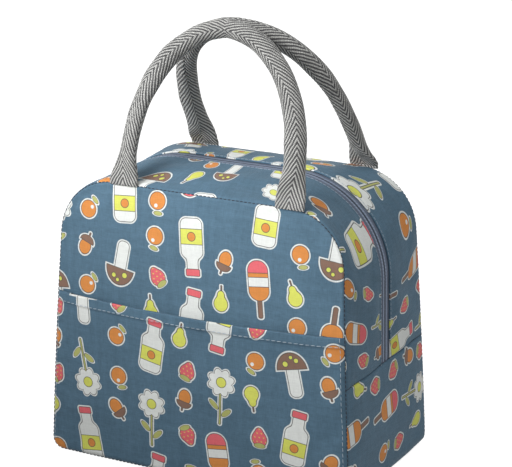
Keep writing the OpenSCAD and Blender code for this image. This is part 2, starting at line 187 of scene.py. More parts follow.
class LunchBagColours(bpy.types.PropertyGroup):
    """Colours of the bag's finishes."""

    cloth: colour("Cloth", (86, 113, 132), "Slate blue ground of the printed cloth")
    white: colour("White ink", (226, 229, 226), "White of the print")
    yellow: colour("Yellow ink", (214, 217, 88), "Yellow of the print")
    olive: colour("Olive ink", (176, 178, 98), "Olive of the print")
    orange: colour("Orange ink", (214, 132, 46), "Orange of the print")
    coral: colour("Coral ink", (222, 92, 102), "Coral of the print")
    brown: colour("Brown ink", (126, 92, 74), "Brown of the print")
    line: colour("Line ink", (66, 62, 60), "Dark lines of the print")
    thread: colour("Thread", (178, 190, 200), "Pale sewing thread")
    # Paler than the cloth: real topstitching, and partly a painted highlight on the folded
    # edge beside the zip
    zip_lip_highlight_thread: colour("Edge thread, painted fold highlight", (158, 172, 186), "Thread beside the zip")
    # Far darker than the cloth: partly real seam thread, partly painted shade of the seam
    # grooves
    dark_thread: colour("Zip lip highlight thread", (36, 46, 60), "Dark thread in the seams")
    webbing_light: colour("Webbing, light", (182, 182, 179), "Light yarn")
    webbing_dark: colour("Webbing, dark", (76, 76, 77), "Dark yarn")
    tape: colour("Zip tape", (97, 108, 126), "Tape of the zip")
    coil: colour("Zip coil", (52, 58, 70), "Coil of the zip")
    metal: colour("Metal", (132, 136, 142), "Plated slider and stop")
    foil: colour("Foil", (212, 215, 219), "Foil lining")
    binding: colour("Binding", (62, 70, 82), "Tape over the inside seams")
    cord: colour("Cord", (226, 222, 212), "Cord inside the handles")
    floor: colour("Floor", (170, 170, 170), "Pale studio floor")


def mm(name):
    """One of the scene's groups of sizes, in millimetres."""
    group = getattr(bpy.context.scene, "lunch_bag_" + name)
    return SimpleNamespace(**{n: getattr(group, n) / MM for n in group.__annotations__})


def sizes():
    return mm("body"), mm("zip")


def ink(name):
    return (*getattr(bpy.context.scene.lunch_bag_colours, name), 1.0)


# ---- Outlines of the panels and of the zip line, in millimetres ----


def outlines():
    """The panels' outline and the zip line, with the same words as the model's source."""
    b, z = sizes()
    slope = b.side_taper / b.panel_h
    seam_x = b.base_w / 2 - slope * b.side_seam_z
    zip_slope = slope - z.swell / (b.panel_h - b.side_seam_z)
    panel = SimpleNamespace(
        x0=b.base_w / 2, z0=0.0, m=slope, top=b.panel_h, r=b.panel_corner_r
    )
    zip_line = SimpleNamespace(
        x0=seam_x, z0=b.side_seam_z, m=zip_slope, top=b.panel_h + z.crown, r=z.corner_r
    )
    for o in (panel, zip_line):
        o.a = math.atan(o.m)
        reach = o.x0 * math.cos(o.a) + o.z0 * math.sin(o.a)
        o.cz = o.top - o.r
        o.cx = (reach - o.r - o.cz * math.sin(o.a)) / math.cos(o.a)
    return panel, zip_line


def side_x(o, z):
    return o.x0 - o.m * (z - o.z0)


def face_y(x, z):
    """Outer face of the front panel."""
    b, _ = sizes()
    middle = (b.base_w / 2) ** 2 / (2 * b.face_bulge_r)
    return -(b.base_d / 2 + middle) + (x * x + z * z) / (2 * b.face_bulge_r)


def piecewise(s, pieces):
    """Points and outward normals at s, where each whole step of s is one piece."""
    s = np.asarray(s, float)
    points, normals = np.zeros((len(s), 2)), np.zeros((len(s), 2))
    for i, piece in enumerate(pieces):
        here = (s >= i) & ((s < i + 1) | (i == len(pieces) - 1))
        if here.any():
            points[here], normals[here] = piece(s[here] - i)
    return points, normals


def line(p, q, normal):
    p, q = np.array(p, float), np.array(q, float)
    return lambda t: (p + np.outer(t, q - p), np.tile(normal, (len(t), 1)))


def arc(centre, r, a0, a1):
    def at(t):
        f = a0 + (a1 - a0) * t
        n = np.stack([np.cos(f), np.sin(f)], 1)
        return np.array(centre) + r * n, n

    return at


def side_line(o, z0, z1):
    return line((side_x(o, z0), z0), (side_x(o, z1), z1), (math.cos(o.a), math.sin(o.a)))


def top_corner(o):
    """Height where an outline's top corner starts, and the corner."""
    return o.cz + o.r * math.sin(o.a), arc((o.cx, o.cz), o.r, o.a, math.pi / 2)


def foot_centre(o):
    b, _ = sizes()
    r = b.base_corner_r
    x = (b.base_w / 2 * math.cos(o.a) - r - r * math.sin(o.a)) / math.cos(o.a)
    return (x, r), r


def both_sides(s, pieces):
    """An outline from its right end (s = 0) to its left one (s = 5), of which the pieces
    give the right half and the whole middle."""
    s = np.asarray(s, float)
    p, n = piecewise(np.minimum(s, 5 - s), pieces)
    flip = np.where(s > 2.5, -1.0, 1.0)[:, None] * np.array([1, 0]) + np.array([0, 1])
    return p * flip, n * flip


def over(o, z0, s):
    """Over the top, from the right side seam to the left one."""
    z1, corner = top_corner(o)
    middle = line((o.cx, o.top), (-o.cx, o.top), (0, 1))
    return both_sides(s, [side_line(o, z0, z1), corner, middle])


def under(o, z0, s):
    """Round the base, from the right side seam to the left one."""
    (x, z), r = foot_centre(o)
    corner = arc((x, z), r, o.a, -math.pi / 2)
    middle = line((x, 0), (-x, 0), (0, -1))
    return both_sides(s, [side_line(o, z0, r + r * math.sin(o.a)), corner, middle])


def half_panel(o, s):
    """Up the panel's right half, from the middle of its foot to the middle of its top."""
    (x, z), r = foot_centre(o)
    z1, corner = top_corner(o)
    return piecewise(
        s,
        [
            line((0, 0), (x, 0), (0, -1)),
            arc((x, z), r, -math.pi / 2, o.a),
            side_line(o, r + r * math.sin(o.a), z1),
            corner,
            line((o.cx, o.top), (0, o.top), (0, 1)),
        ],
    )


def round_panel(s, lower=False):
    """The panels' outline over the top, or with lower under the base, between the side
    seams: points and outward normals."""
    b, _ = sizes()
    return (under if lower else over)(outlines()[0], b.side_seam_z, s)


def run_along(points):
    """Distance along a row of points."""
    steps = np.linalg.norm(np.diff(points, axis=0), axis=1)
    return np.concatenate([[0], np.cumsum(steps)])


def evenly(curve, s0, s1, step=None, count=None, fine=3000):
    """Values of s that lie evenly along a curve, about step apart or this many steps,
    and the curve's length."""
    s = np.linspace(s0, s1, fine)
    run = run_along(curve(s)[0])
    count = count or max(2, int(round(run[-1] / step)))
    return np.interp(np.linspace(0, run[-1], count + 1), run, s), run[-1]


# ---- Mesh tools ----


def grid_quads(m, n):
    """Faces of an m by n grid of points."""
    i = np.arange(m * n).reshape(m, n)
    q = np.stack([i[:-1, :-1], i[1:, :-1], i[1:, 1:], i[:-1, 1:]], -1)
    return q.reshape(-1, 4)


def loop_quads(a, b):
    """Faces between two closed rows of the same count."""
    return np.stack([a, np.roll(a, -1), np.roll(b, -1), b], -1)


def thickened(outer, inner, quads):
    """Points and faces of a closed shell, and for each face whether it is on the outer
    side (0), the inner side (1) or the rim (2)."""
    n = len(outer)
    edges = dict.fromkeys(edge for q in quads.tolist() for edge in zip(q, q[1:] + q[:1]))
    rim = np.array([[b, a, a + n, b + n] for a, b in edges if (b, a) not in edges])
    faces = np.concatenate([quads, quads[:, ::-1] + n, rim])
    kinds = np.repeat([0, 1, 2], [len(quads), len(quads), len(rim)])
    return np.concatenate([outer, inner]), faces, kinds


def volume(co, faces):
    a = co[faces[:, 0]]
    total = 0.0
    for k in range(1, faces.shape[1] - 1):
        b, c = co[faces[:, k]], co[faces[:, k + 1]]
        total += float((a * np.cross(b, c)).sum()) / 6
    return total


def new_object(name, co, faces, materials=(), edges=()):
    """An object at the origin, from points in millimetres."""
    mesh = bpy.data.meshes.new(name)
    mesh.from_pydata((np.asarray(co, float) * MM).tolist(), list(edges), faces)
    for m in materials:
        mesh.materials.append(m)
    mesh.polygons.foreach_set("use_smooth", np.ones(len(mesh.polygons), bool))
    obj = bpy.data.objects.new(name, mesh)
    bpy.context.scene.collection.objects.link(obj)
    return obj


def lay_cut(mesh, uv):
    """The piece's cut, in millimetres: one pair for each point, or four for each quad."""
    layer = mesh.uv_layers.new(name="Cut")
    uv = np.asarray(uv, float) * MM
    if uv.ndim == 2:
        corner = np.zeros(len(mesh.loops), np.int32)
        mesh.loops.foreach_get("vertex_index", corner)
        flat = uv[corner]
    else:
        flat = np.zeros((len(mesh.loops), 2))
        flat[: uv.size // 2] = uv.reshape(-1, 2)
    layer.data.foreach_set("uv", flat.astype(np.float32).ravel())


def shell_piece(name, parts, materials):
    """One piece from thickened surfaces. Each part has outer and inner points and a cut,
    and its faces where the points form no grid."""
    cos, faces, kinds, cuts, at = [], [], [], [], 0
    for outer, inner, cut, *quads in parts:
        quads = quads[0] if quads else grid_quads(*outer.shape[:2])
        co, quads, kind = thickened(outer.reshape(-1, 3), inner.reshape(-1, 3), quads)
        if volume(co, quads) < 0:
            quads = quads[:, ::-1]
        cos.append(co)
        faces.append(quads + at)
        kinds.append(kind)
        cuts += [cut.reshape(-1, 2)] * 2
        at += len(co)
    obj = new_object(name, np.concatenate(cos), np.concatenate(faces).tolist(), materials)
    kinds = np.minimum(np.concatenate(kinds), len(materials) - 1).astype(np.int32)
    obj.data.polygons.foreach_set("material_index", kinds)
    lay_cut(obj.data, np.concatenate(cuts))
    obj.data.validate()
    obj.data.update()
    return obj


def tube_piece(name, tubes, material, cut=None):
    """One piece from closed tubes of rings. A single tube may have a cut, its distances
    round and along the tube, and is then smooth all over."""
    cos, faces, caps, at = [], [], [], 0
    for rings in tubes:
        m, n = rings.shape[:2]
        i = at + np.arange(m * n).reshape(m, n)
        quads = np.concatenate([loop_quads(a, b) for a, b in zip(i, i[1:])])
        ends = [i[0][::-1].tolist(), i[-1].tolist()]
        flat = rings.reshape(-1, 3)
        turn = volume(flat, quads - at) < 0
        if turn:
            quads, ends = quads[:, ::-1], [e[::-1] for e in ends]
        cos.append(flat)
        faces.append(quads)
        caps += ends
        at += m * n
    faces = np.concatenate(faces).tolist() + caps
    obj = new_object(name, np.concatenate(cos), faces, [material])
    if cut is None:
        obj.data.set_sharp_from_angle(angle=math.radians(50))
    else:
        u, v = cut
        u2 = np.concatenate([u[:, 1:], u[:, -1:] + u[:, 1:2] - u[:, :1]], 1)
        corners = [(u[:-1], v[:-1]), (u2[:-1], v[:-1]), (u2[1:], v[1:]), (u[1:], v[1:])]
        uv = np.stack([np.stack(c, -1) for c in corners], 2).reshape(-1, 4, 2)
        lay_cut(obj.data, uv[:, ::-1] if turn else uv)
    obj.data.update()
    return obj


def waves(points, seed, shortest, longest, count=14):
    """Smooth random relief of about -1 to 1 over points of any dimension."""
    rng = np.random.RandomState(seed)
    points = np.asarray(points, float)
    if points.ndim == 1:
        points = points[:, None]
    total = np.zeros(points.shape[:-1])
    for _ in range(count):
        way = rng.normal(size=points.shape[-1])
        way /= np.linalg.norm(way)
        length = shortest * (longest / shortest) ** rng.rand()
        total += np.sin(points @ way * 2 * np.pi / length + rng.rand() * 2 * np.pi)
    return total / math.sqrt(count / 2) / 1.6


def smooth(t):
    t = np.clip(t, 0, 1)
    return t * t * (3 - 2 * t)


def to_back(points):
    return points * np.array([1, -1, 1])


def facing(where):
    """What turns points made for the front to where they belong."""
    return to_back if where == "back" else np.asarray


# ---- How cloth lies ----

INSET = 6.0  # From a panel's seam to where its flat grid starts
GAP = 0.1  # Between layers that lie on each other
NEAR_ZIP = 1.5  # From the tape's edge back to where the gusset's cloth turns down
# For each padded surface, the seed of its puckers and how its cloth has settled
SEEDS = {"front": 11, "back": 12, "lower": 21, "zip_front": 23, "zip_back": 24}
DRAPE = {}
SETTLING = 24  # Steps of time in which the cloth settles


def roll():
    """How cloth rolls into a seam: distance in from the seam line and depth under the
    face, from the seam's bottom out to the flat."""
    b, _ = sizes()
    r, g = b.seam_r, b.seam_groove
    meet = (g - math.sqrt(max(0.0, 2 * r * r - g * g))) / 2 + r
    f = np.linspace(math.acos((r - meet) / r), 0, 8)
    return r + g - r * np.sin(f) - b.puff, r - r * np.cos(f) - b.puff


def dip(distance, reach=2.4, depth=1.5):
    """Depth of the groove beside a seam that is crossed at this distance."""
    k = np.clip(1 - np.asarray(distance, float) / reach, 0, 1)
    return depth * (1 - np.sqrt(1 - k * k))


def puckers(name, run):
    """Depth of the small puckers along a seam."""
    b, _ = sizes()
    return b.pucker * (0.5 + 0.5 * waves(run, SEEDS[name], 7, 26))


def settled(name, m, n):
    """How far an m by n grid on a surface has moved by settling."""
    full = DRAPE[name]
    for axis, count in enumerate((m, n)):
        at, known = np.linspace(0, 1, count), np.linspace(0, 1, full.shape[axis])
        full = np.apply_along_axis(lambda f: np.interp(at, known, f), axis, full)
    for _ in range(3):
        for axis in (0, 1):
            moved = np.moveaxis(full, axis, 0)
            moved[1:-1] = (moved[:-2] + 2 * moved[1:-1] + moved[2:]) / 4
    return full


def settle(grids, pressure, slack, cap):
    """Lets grids of cloth, held at their edges, settle under the padding's pressure.
    Returns how far each point moves, in millimetres."""
    index, co, faces, held, at = {}, [], [], [], 0
    for name, (g, _) in grids.items():
        m, n = g.shape[:2]
        i = index[name] = at + np.arange(m * n).reshape(m, n)
        co.append(g.reshape(-1, 3))
        faces.append(grid_quads(m, n) + at)
        held += [*i[0], *i[-1], *i[:, 0], *i[:, -1]]
        at += m * n
    co = np.concatenate(co)
    obj = new_object("settling", co, np.concatenate(faces).tolist())
    obj.vertex_groups.new(name="seams").add([int(i) for i in set(held)], 1.0, "REPLACE")
    cloth = obj.modifiers.new("Cloth", "CLOTH")
    c = cloth.settings
    c.quality = 6
    c.mass = 0.15
    c.air_damping = 8
    c.tension_stiffness = c.compression_stiffness = 25
    c.shear_stiffness = 8
    c.bending_stiffness = 0.6
    c.vertex_group_mass = "seams"
    c.use_pressure = True
    c.uniform_pressure_force = pressure
    c.shrink_min = -slack
    c.effector_weights.gravity = 0
    cloth.point_cache.frame_start, cloth.point_cache.frame_end = 1, SETTLING
    for f in range(SETTLING):
        bpy.context.scene.frame_set(f + 1)
    moved = np.zeros(len(co) * 3)
    result = obj.evaluated_get(bpy.context.evaluated_depsgraph_get())
    result.data.vertices.foreach_get("co", moved)
    moved = moved.reshape(-1, 3) / MM - co
    mesh = obj.data
    bpy.data.objects.remove(obj)
    bpy.data.meshes.remove(mesh)
    bpy.context.scene.frame_set(1)
    moved *= cap / (cap + np.linalg.norm(moved, axis=1, keepdims=True))
    return {name: moved[i] for name, i in index.items()}


def coarse_grids():
    """What settles: the cloth between the seams, and which way is out of the bag."""
    b, z = sizes()
    step = 5.0
    face = coons(panel_frame(step), INSET)
    front = face_point(face.reshape(-1, 2), b.puff).reshape(*face.shape[:2], 3)
    seam_in = roll()[0][-1]

    def inside_seams(lower):
        return evenly(lambda s: round_panel(s, lower), 0, 5, step)[0][1:-1]

    s = inside_seams(False)
    w = np.linspace(0, 1, 12)[None, :]
    y = (seam_at(s)[:, None] + seam_in) * (1 - w) - (z.band / 2 + NEAR_ZIP) * w
    top = zip_point(s[:, None], y, -b.puff)

    s = inside_seams(True)
    w = np.linspace(0, 1, 24)[None, :]
    y = (seam_at(s, True)[:, None] + seam_in) * (1 - 2 * w)
    low = sunk(*round_panel(s, True), y, -b.puff)
    out, up = np.array([0, -1, 0]), np.array([0, 0, 1])
    # Each back grid is the front one seen from behind, set off a little from it
    return {
        "front": (front, out),
        "back": (front + np.array([0.0, 0.0, 0.013]), out),
        "zip_front": (top, up),
        "zip_back": (top + np.array([0.0, 0.0, 0.011]), up),
        "lower": (low, up * 0),
    }


# ---- Panels ----


def panel_frame(step=2.2):
    """Boundary nodes of a panel, as four sides of points and normals: bottom and top
    run left to right, the sides run up."""
    panel, _ = outlines()
    flip = np.array([-1, 1])

    def sample(s0, s1, length):
        count = int(round(length / step))
        s, _ = evenly(lambda s: half_panel(panel, s), s0, s1, count=count, fine=2000)
        return half_panel(panel, s)

    def whole(half):
        return tuple(np.concatenate([(a * flip)[::-1][:-1], a]) for a in half)

    bottom = whole(sample(0, 1.5, panel.x0))
    right = sample(1.5, 3.5, panel.top)
    top = whole(tuple(a[::-1] for a in sample(3.5, 5, panel.x0)))
    left = tuple(a * flip for a in right)
    return bottom, right, top, left


def coons(sides, inset):
    """A grid filling a panel at this distance inside its outline, u across and v up."""
    b, r, t, l = (p - n * inset for p, n in sides)
    u = np.linspace(0, 1, len(b))[:, None, None]
    v = np.linspace(0, 1, len(r))[None, :, None]
    edges = (1 - v) * b[:, None] + v * t[:, None] + (1 - u) * l[None] + u * r[None]
    low = (1 - u) * (1 - v) * b[0] + u * (1 - v) * b[-1]
    return edges - (low + (1 - u) * v * t[0] + u * v * t[-1])


def around(sides):
    """Boundary nodes in one closed loop: their indices in the grid, points, normals."""
    b, r, t, l = sides
    m, n = len(b[0]), len(r[0])
    i = np.arange(m * n).reshape(m, n)
    loop = np.concatenate([i[:-1, 0], i[-1, :-1], i[:0:-1, -1], i[0, :0:-1]])
    return loop, *(
        np.concatenate([b[k][:-1], r[k][:-1], t[k][:0:-1], l[k][:0:-1]]) for k in (0, 1)
    )


def face_point(xz, out):
    """Points on the front face, standing out by this much."""
    return np.stack([xz[:, 0], face_y(xz[:, 0], xz[:, 1]) - out, xz[:, 1]], 1)


def pocket_out(x, z):
    """How far the pocket stands out from the panel."""
    p = mm("pocket")
    u, w = x / side_x(outlines()[0], z), z / p.height
    return p.bulge * np.clip(1 - u * u, 0, 1) * w * w


def panel_parts(where):
    """Outer and inner points, cut and faces of a padded panel, seen from the front."""
    b, _ = sizes()
    sides = panel_frame()
    grid = coons(sides, INSET)
    m, n = grid.shape[:2]
    flat = grid.reshape(-1, 2)
    loop, p, q = around(sides)
    moved = settled(where, m, n).reshape(-1, 3)
    if where == "front":
        # The panel stays behind the pocket's cloth
        room = pocket_out(flat[:, 0], flat[:, 1]) * 0.5
        below = smooth((mm("pocket").height - flat[:, 1]) / 4 + 1)
        moved[:, 1] += np.maximum(-moved[:, 1] - room, 0) * below
    outer = [face_point(flat, b.puff) + moved]
    inner = [face_point(flat, -b.wall_t) + moved * np.array([0, 0.4, 0])]
    cut = [flat]
    # From the grid's edge out to the seam and down into it
    t_roll, d_roll = roll()
    t_all = np.concatenate([[INSET - 1.2, 3.7], t_roll[::-1]])
    d_all = np.concatenate([[-b.puff, -b.puff], d_roll[::-1]])
    length = run_along(np.stack([t_all, d_all], 1))
    depth = puckers(where, run_along(p))
    for t, d, gone in zip(t_all, d_all, length):
        share = (INSET - t) / (INSET - t_all[-1])
        sink = depth * math.sin(math.pi * share) ** 2
        outer.append(face_point(p - q * t, -(d + sink)))
        inner.append(face_point(p - q * (INSET + (b.wall_t - INSET) * share), -b.wall_t))
        cut.append(p - q * (t_all[0] - gone))
    rows = [loop] + [m * n + k * len(loop) + np.arange(len(loop)) for k in range(len(t_all))]
    quads = [grid_quads(m, n)] + [loop_quads(a, c)[:, ::-1] for a, c in zip(rows, rows[1:])]
    return tuple(np.concatenate(a) for a in (outer, inner, cut, quads))


# ---- Gussets ----


def strip_nodes(lower=False, step=2.2):
    """Values of s round a gusset, with close ones at its two ends, their distance along
    it, and their distance from the nearer end."""
    s, length = evenly(lambda s: round_panel(s, lower), 0, 5, step)
    fine = np.array([0, 0.12, 0.3, 0.6, 1.0, 1.5, 2.0, 3.0])
    run = np.linspace(0, length, len(s))
    inner = run[(run > 4) & (run < length - 4)]
    wanted = np.concatenate([fine, inner, length - fine[::-1]])
    return np.interp(wanted, run, s), wanted, np.minimum(wanted, length - wanted)


def strip_cut(run, across):
    return np.stack(np.broadcast_arrays(run[:, None], across), -1)


def seam_at(s, lower=False):
    """How far forward the front panel's seam lies."""
    p, _ = round_panel(s, lower)
    return face_y(p[:, 0], p[:, 1])


def sunk(p, n, y, depth):
    """Points under an outline's points p and normals n, at y and this depth."""
    xz = p[:, None, :] - n[:, None, :] * np.broadcast_to(depth, y.shape)[..., None]
    return np.concatenate([xz[..., :1], y[..., None], xz[..., 1:]], -1)


def zip_point(s, y, depth):
    """Points on the front zip gusset at s round it, y behind the middle (less than 0)
    and depth under its surface. s and depth fit the shape of y."""
    b, _ = sizes()
    _, zip_line = outlines()
    shape = y.shape
    s, y, depth = (np.broadcast_to(a, shape).ravel() for a in (s, y, depth))
    pf, nf = round_panel(s)
    pm, nm = over(zip_line, b.side_seam_z, s)
    seam = face_y(pf[:, 0], pf[:, 1])
    v = (np.minimum(1, np.abs(y) / (np.abs(seam) - 1.2)) ** 2)[:, None]
    p = (pf - nf * depth[:, None]) * v + (pm - nm * depth[:, None]) * (1 - v)
    return np.stack([p[:, 0], y, p[:, 1]], 1).reshape(*shape, 3)


def zip_gusset_parts(name):
    """Outer and inner points and cut of the front half of the padded zip gusset."""
    b, z = sizes()
    s, run, end = strip_nodes()
    t_roll, d_roll = roll()
    half = z.band / 2
    brim = half + NEAR_ZIP
    top_d = -0.5
    lip_c = (top_d + z.cloth_t - 0.06) / 2
    lip_h = (z.cloth_t - 0.06 - top_d) / 2
    w = np.linspace(0, 1, 27)[1:-1]
    # Across the strip: share of the way to the zip, distance in from the seam,
    # distance from the middle of the zip, and depth
    columns = (
        [(0, t, 0, d) for t, d in zip(t_roll, d_roll)]
        + [(k, t_roll[-1], brim, -b.puff + 0.2 * smooth(k * 4 - 3)) for k in w]
        + [(1, 0, brim - 0.3, top_d)]
        + [
            (1, 0, half + z.lip_r * (1 - math.cos(f)), lip_c - lip_h * math.sin(f))
            for f in np.linspace(math.pi / 2, -math.pi / 2, 7)
        ]
        + [(1, 0, half + 2.2, lip_c + lip_h)]
    )
    share, t, q, d = (np.array(c)[None, :] for c in zip(*columns))
    seam = seam_at(s)[:, None]
    y = (seam + t) * (1 - share) - q * share
    sink = dip(end)[:, None] * (d < z.cloth_t - GAP)
    pucker = puckers(name, run)[:, None] * np.exp(-(((t + 40 * share) / 3) ** 2))
    depth = d + sink + pucker * np.minimum(1, (end / 4))[:, None]
    outer = zip_point(s[:, None], y, depth)
    n0, n1 = len(t_roll), len(t_roll) + len(w)
    outer[:, n0:n1] += settled(name, len(s), len(w))
    # The lining side: from the seam's inner corner to where the lining meets the tape
    k = np.linspace(0, 1, outer.shape[1])[None, :]
    y_in = (seam + b.wall_t) * (1 - k) - (half + z.lap) * k
    inner = zip_point(s[:, None], y_in, b.wall_t)
    return outer, inner, strip_cut(run, run_along(outer[len(s) // 2])[None, :])


def lower_gusset_parts():
    b, _ = sizes()
    s, run, end = strip_nodes(lower=True)
    t_roll, d_roll = roll()
    w = np.linspace(0, 1, 59)[1:-1]
    # Across the strip: share of the way to the back, distance in from the seam, depth
    rolled = [(0, t, d) for t, d in zip(t_roll, d_roll)]
    columns = (
        rolled
        + [(k, t_roll[-1] * (1 - 2 * k), -b.puff) for k in w]
        + [(1, -t, d) for _, t, d in reversed(rolled)]
    )
    share, t, d = (np.array(c)[None, :] for c in zip(*columns))
    seam = seam_at(s, True)[:, None]
    y = seam * (1 - 2 * share) + t
    near = np.minimum(share, 1 - share)
    fading = np.exp(-(((np.abs(t) + 80 * near) / 3) ** 2))
    pucker = puckers("lower", run)[:, None] * fading
    depth = d + dip(end)[:, None] + pucker * np.minimum(1, end / 4)[:, None]
    outline = round_panel(s, True)
    outer = sunk(*outline, y, depth)
    n0, n1 = len(t_roll), len(t_roll) + len(w)
    outer[:, n0:n1] += settled("lower", len(s), len(w))
    outer[..., 2] = np.maximum(outer[..., 2], 0.02)
    k = np.linspace(0, 1, outer.shape[1])[None, :]
    y_in = (seam + b.wall_t) * (1 - 2 * k)
    return outer, sunk(*outline, y_in, b.wall_t), strip_cut(run, y)


# ---- Pocket ----

NEAR_SEAM = np.array([0, 0.12, 0.3, 0.55, 0.9, 1.4, 2.1, 3.2, 4.6])
# Rows of points round the hem's fold and up to the mouth, and the hem's share there
HEM_ROWS = np.array([-1.5, -0.9, -0.3, 0.2, 0.7, 1.4, 2.4, 3.4, 4.4])
MOUTH_ROWS = np.array([1.6, 0.9, 0.45, 0.15, 0])
HEM_STEP = np.concatenate([[0.2, 0.5, 0.85], np.ones(7), [0.9, 0.6, 0.1]])


def panel_half_width(z, inset):
    panel, _ = outlines()
    (cx, cz), r = foot_centre(panel)
    straight = side_x(panel, z) - inset / math.cos(panel.a)
    low = cx + np.sqrt(np.maximum(0, (r - inset) ** 2 - (cz - z) ** 2))
    return np.where(z < r * (1 + math.sin(panel.a)), low, straight)


def seam_distance(x, z):
    """How far a point of the lower panel lies in from its outline."""
    panel, _ = outlines()
    (cx, cz), r = foot_centre(panel)
    side = (side_x(panel, z) - np.abs(x)) * math.cos(panel.a)
    corner = r - np.hypot(np.maximum(np.abs(x) - cx, 0), np.maximum(cz - z, 0))
    in_corner = (np.abs(x) > cx) & (z < cz)
    return np.where(in_corner, corner, np.minimum(side, z))


def pocket_surface(x, z, lift):
    """Points on the pocket at x and z, standing out by lift from its plain cloth."""
    b, _ = sizes()
    t = seam_distance(x, z)
    t_roll, d_roll = roll()
    depth = np.interp(t, t_roll, d_roll)
    edge = smooth((t - t_roll[0]) / 3.0)
    # The pocket goes with the panel behind it
    fold = DRAPE["front"]
    m, n = fold.shape[:2]
    u = np.clip((x / panel_half_width(z, 0) + 1) / 2, 0, 1) * (m - 1)
    v = np.clip(z / b.panel_h, 0, 1) * (n - 1)
    i, j = np.minimum(u.astype(int), m - 2), np.minimum(v.astype(int), n - 2)
    fu, fv = smooth(u - i)[..., None], smooth(v - j)[..., None]
    moved = (
        fold[i, j] * (1 - fu) * (1 - fv)
        + fold[i + 1, j] * fu * (1 - fv)
        + fold[i, j + 1] * (1 - fu) * fv
        + fold[i + 1, j + 1] * fu * fv
    )
    out = pocket_out(x, z) + (mm("pocket").cloth_t + GAP + lift) * edge
    slack = 0.5 * waves(np.stack([x, z * 1.6], -1), 31, 40, 110) * edge
    y = face_y(x, z) + depth - out - np.maximum(slack, -0.3) * smooth(z / 40)
    return np.stack([x, y, z], -1) + moved * edge[..., None]


def pocket_parts():
    """Outer and inner points of the pocket, with its hem folded to the front."""
    p = mm("pocket")
    first = roll()[0][0]
    hem = p.height - p.hem_h
    plain = np.arange(7.0, hem - 2.2, 1.9)
    z = np.concatenate([first + NEAR_SEAM, plain, hem + HEM_ROWS, p.height - MOUTH_ROWS])
    step = np.concatenate([np.zeros(len(z) - len(HEM_STEP)), HEM_STEP])
    width = panel_half_width(z, first)[:, None]
    middle = np.linspace(-1, 1, 111)[1:-1][None, :] * (width - NEAR_SEAM[-1] - 1)
    x = np.concatenate(
        [-width + NEAR_SEAM[None, :], middle, width - NEAR_SEAM[None, ::-1]], 1
    )
    zz = np.broadcast_to(z[:, None], x.shape)
    outer = pocket_surface(x, zz, p.hem_t * step[:, None])
    return outer, pocket_surface(x, zz, -p.cloth_t * 0.8), np.stack([x, zz], -1)


# ---- Handles ----

# How round each arch is at its top, how square at its shoulders, how late it leans in
ARCHES = {"front": (1.14, 0.71, 1.02), "back": (0.96, 0.66, 1.03)}
FOLD_GAP = 0.3  # Under the webbing's fold, over the panel's seam
LEG_TWIST = math.radians(38)
RIB_LEAN = math.radians(60)  # Of the woven ribs across a chevron
SIDES = 76  # Points round a handle


def arch(a, which):
    """Points of a handle's arch at angles a in degrees, seen from the front."""
    b, _ = sizes()
    h = mm("handles")
    foot_y = face_y(h.spacing / 2, b.panel_h) - h.foot_out
    apart = h.grip_gap / 2 + h.grip_r
    back = which == "back"
    lean = (-h.meet_y if back else h.meet_y) - apart - foot_y
    rise = h.rise - h.back_drop if back else h.rise
    wide, square, late = ARCHES[which]
    c, up = np.cos(np.radians(a)), np.sin(np.radians(a)).clip(0) ** square
    return np.stack(
        [
            h.shift + h.spacing / 2 * np.sign(c) * np.abs(c) ** wide,
            foot_y + lean * up**late,
            handle_foot_z() + rise * up,
        ],
        -1,
    )


def handle_foot_z():
    b, _ = sizes()
    return b.panel_h + FOLD_GAP + mm("handles").webbing_t + GAP


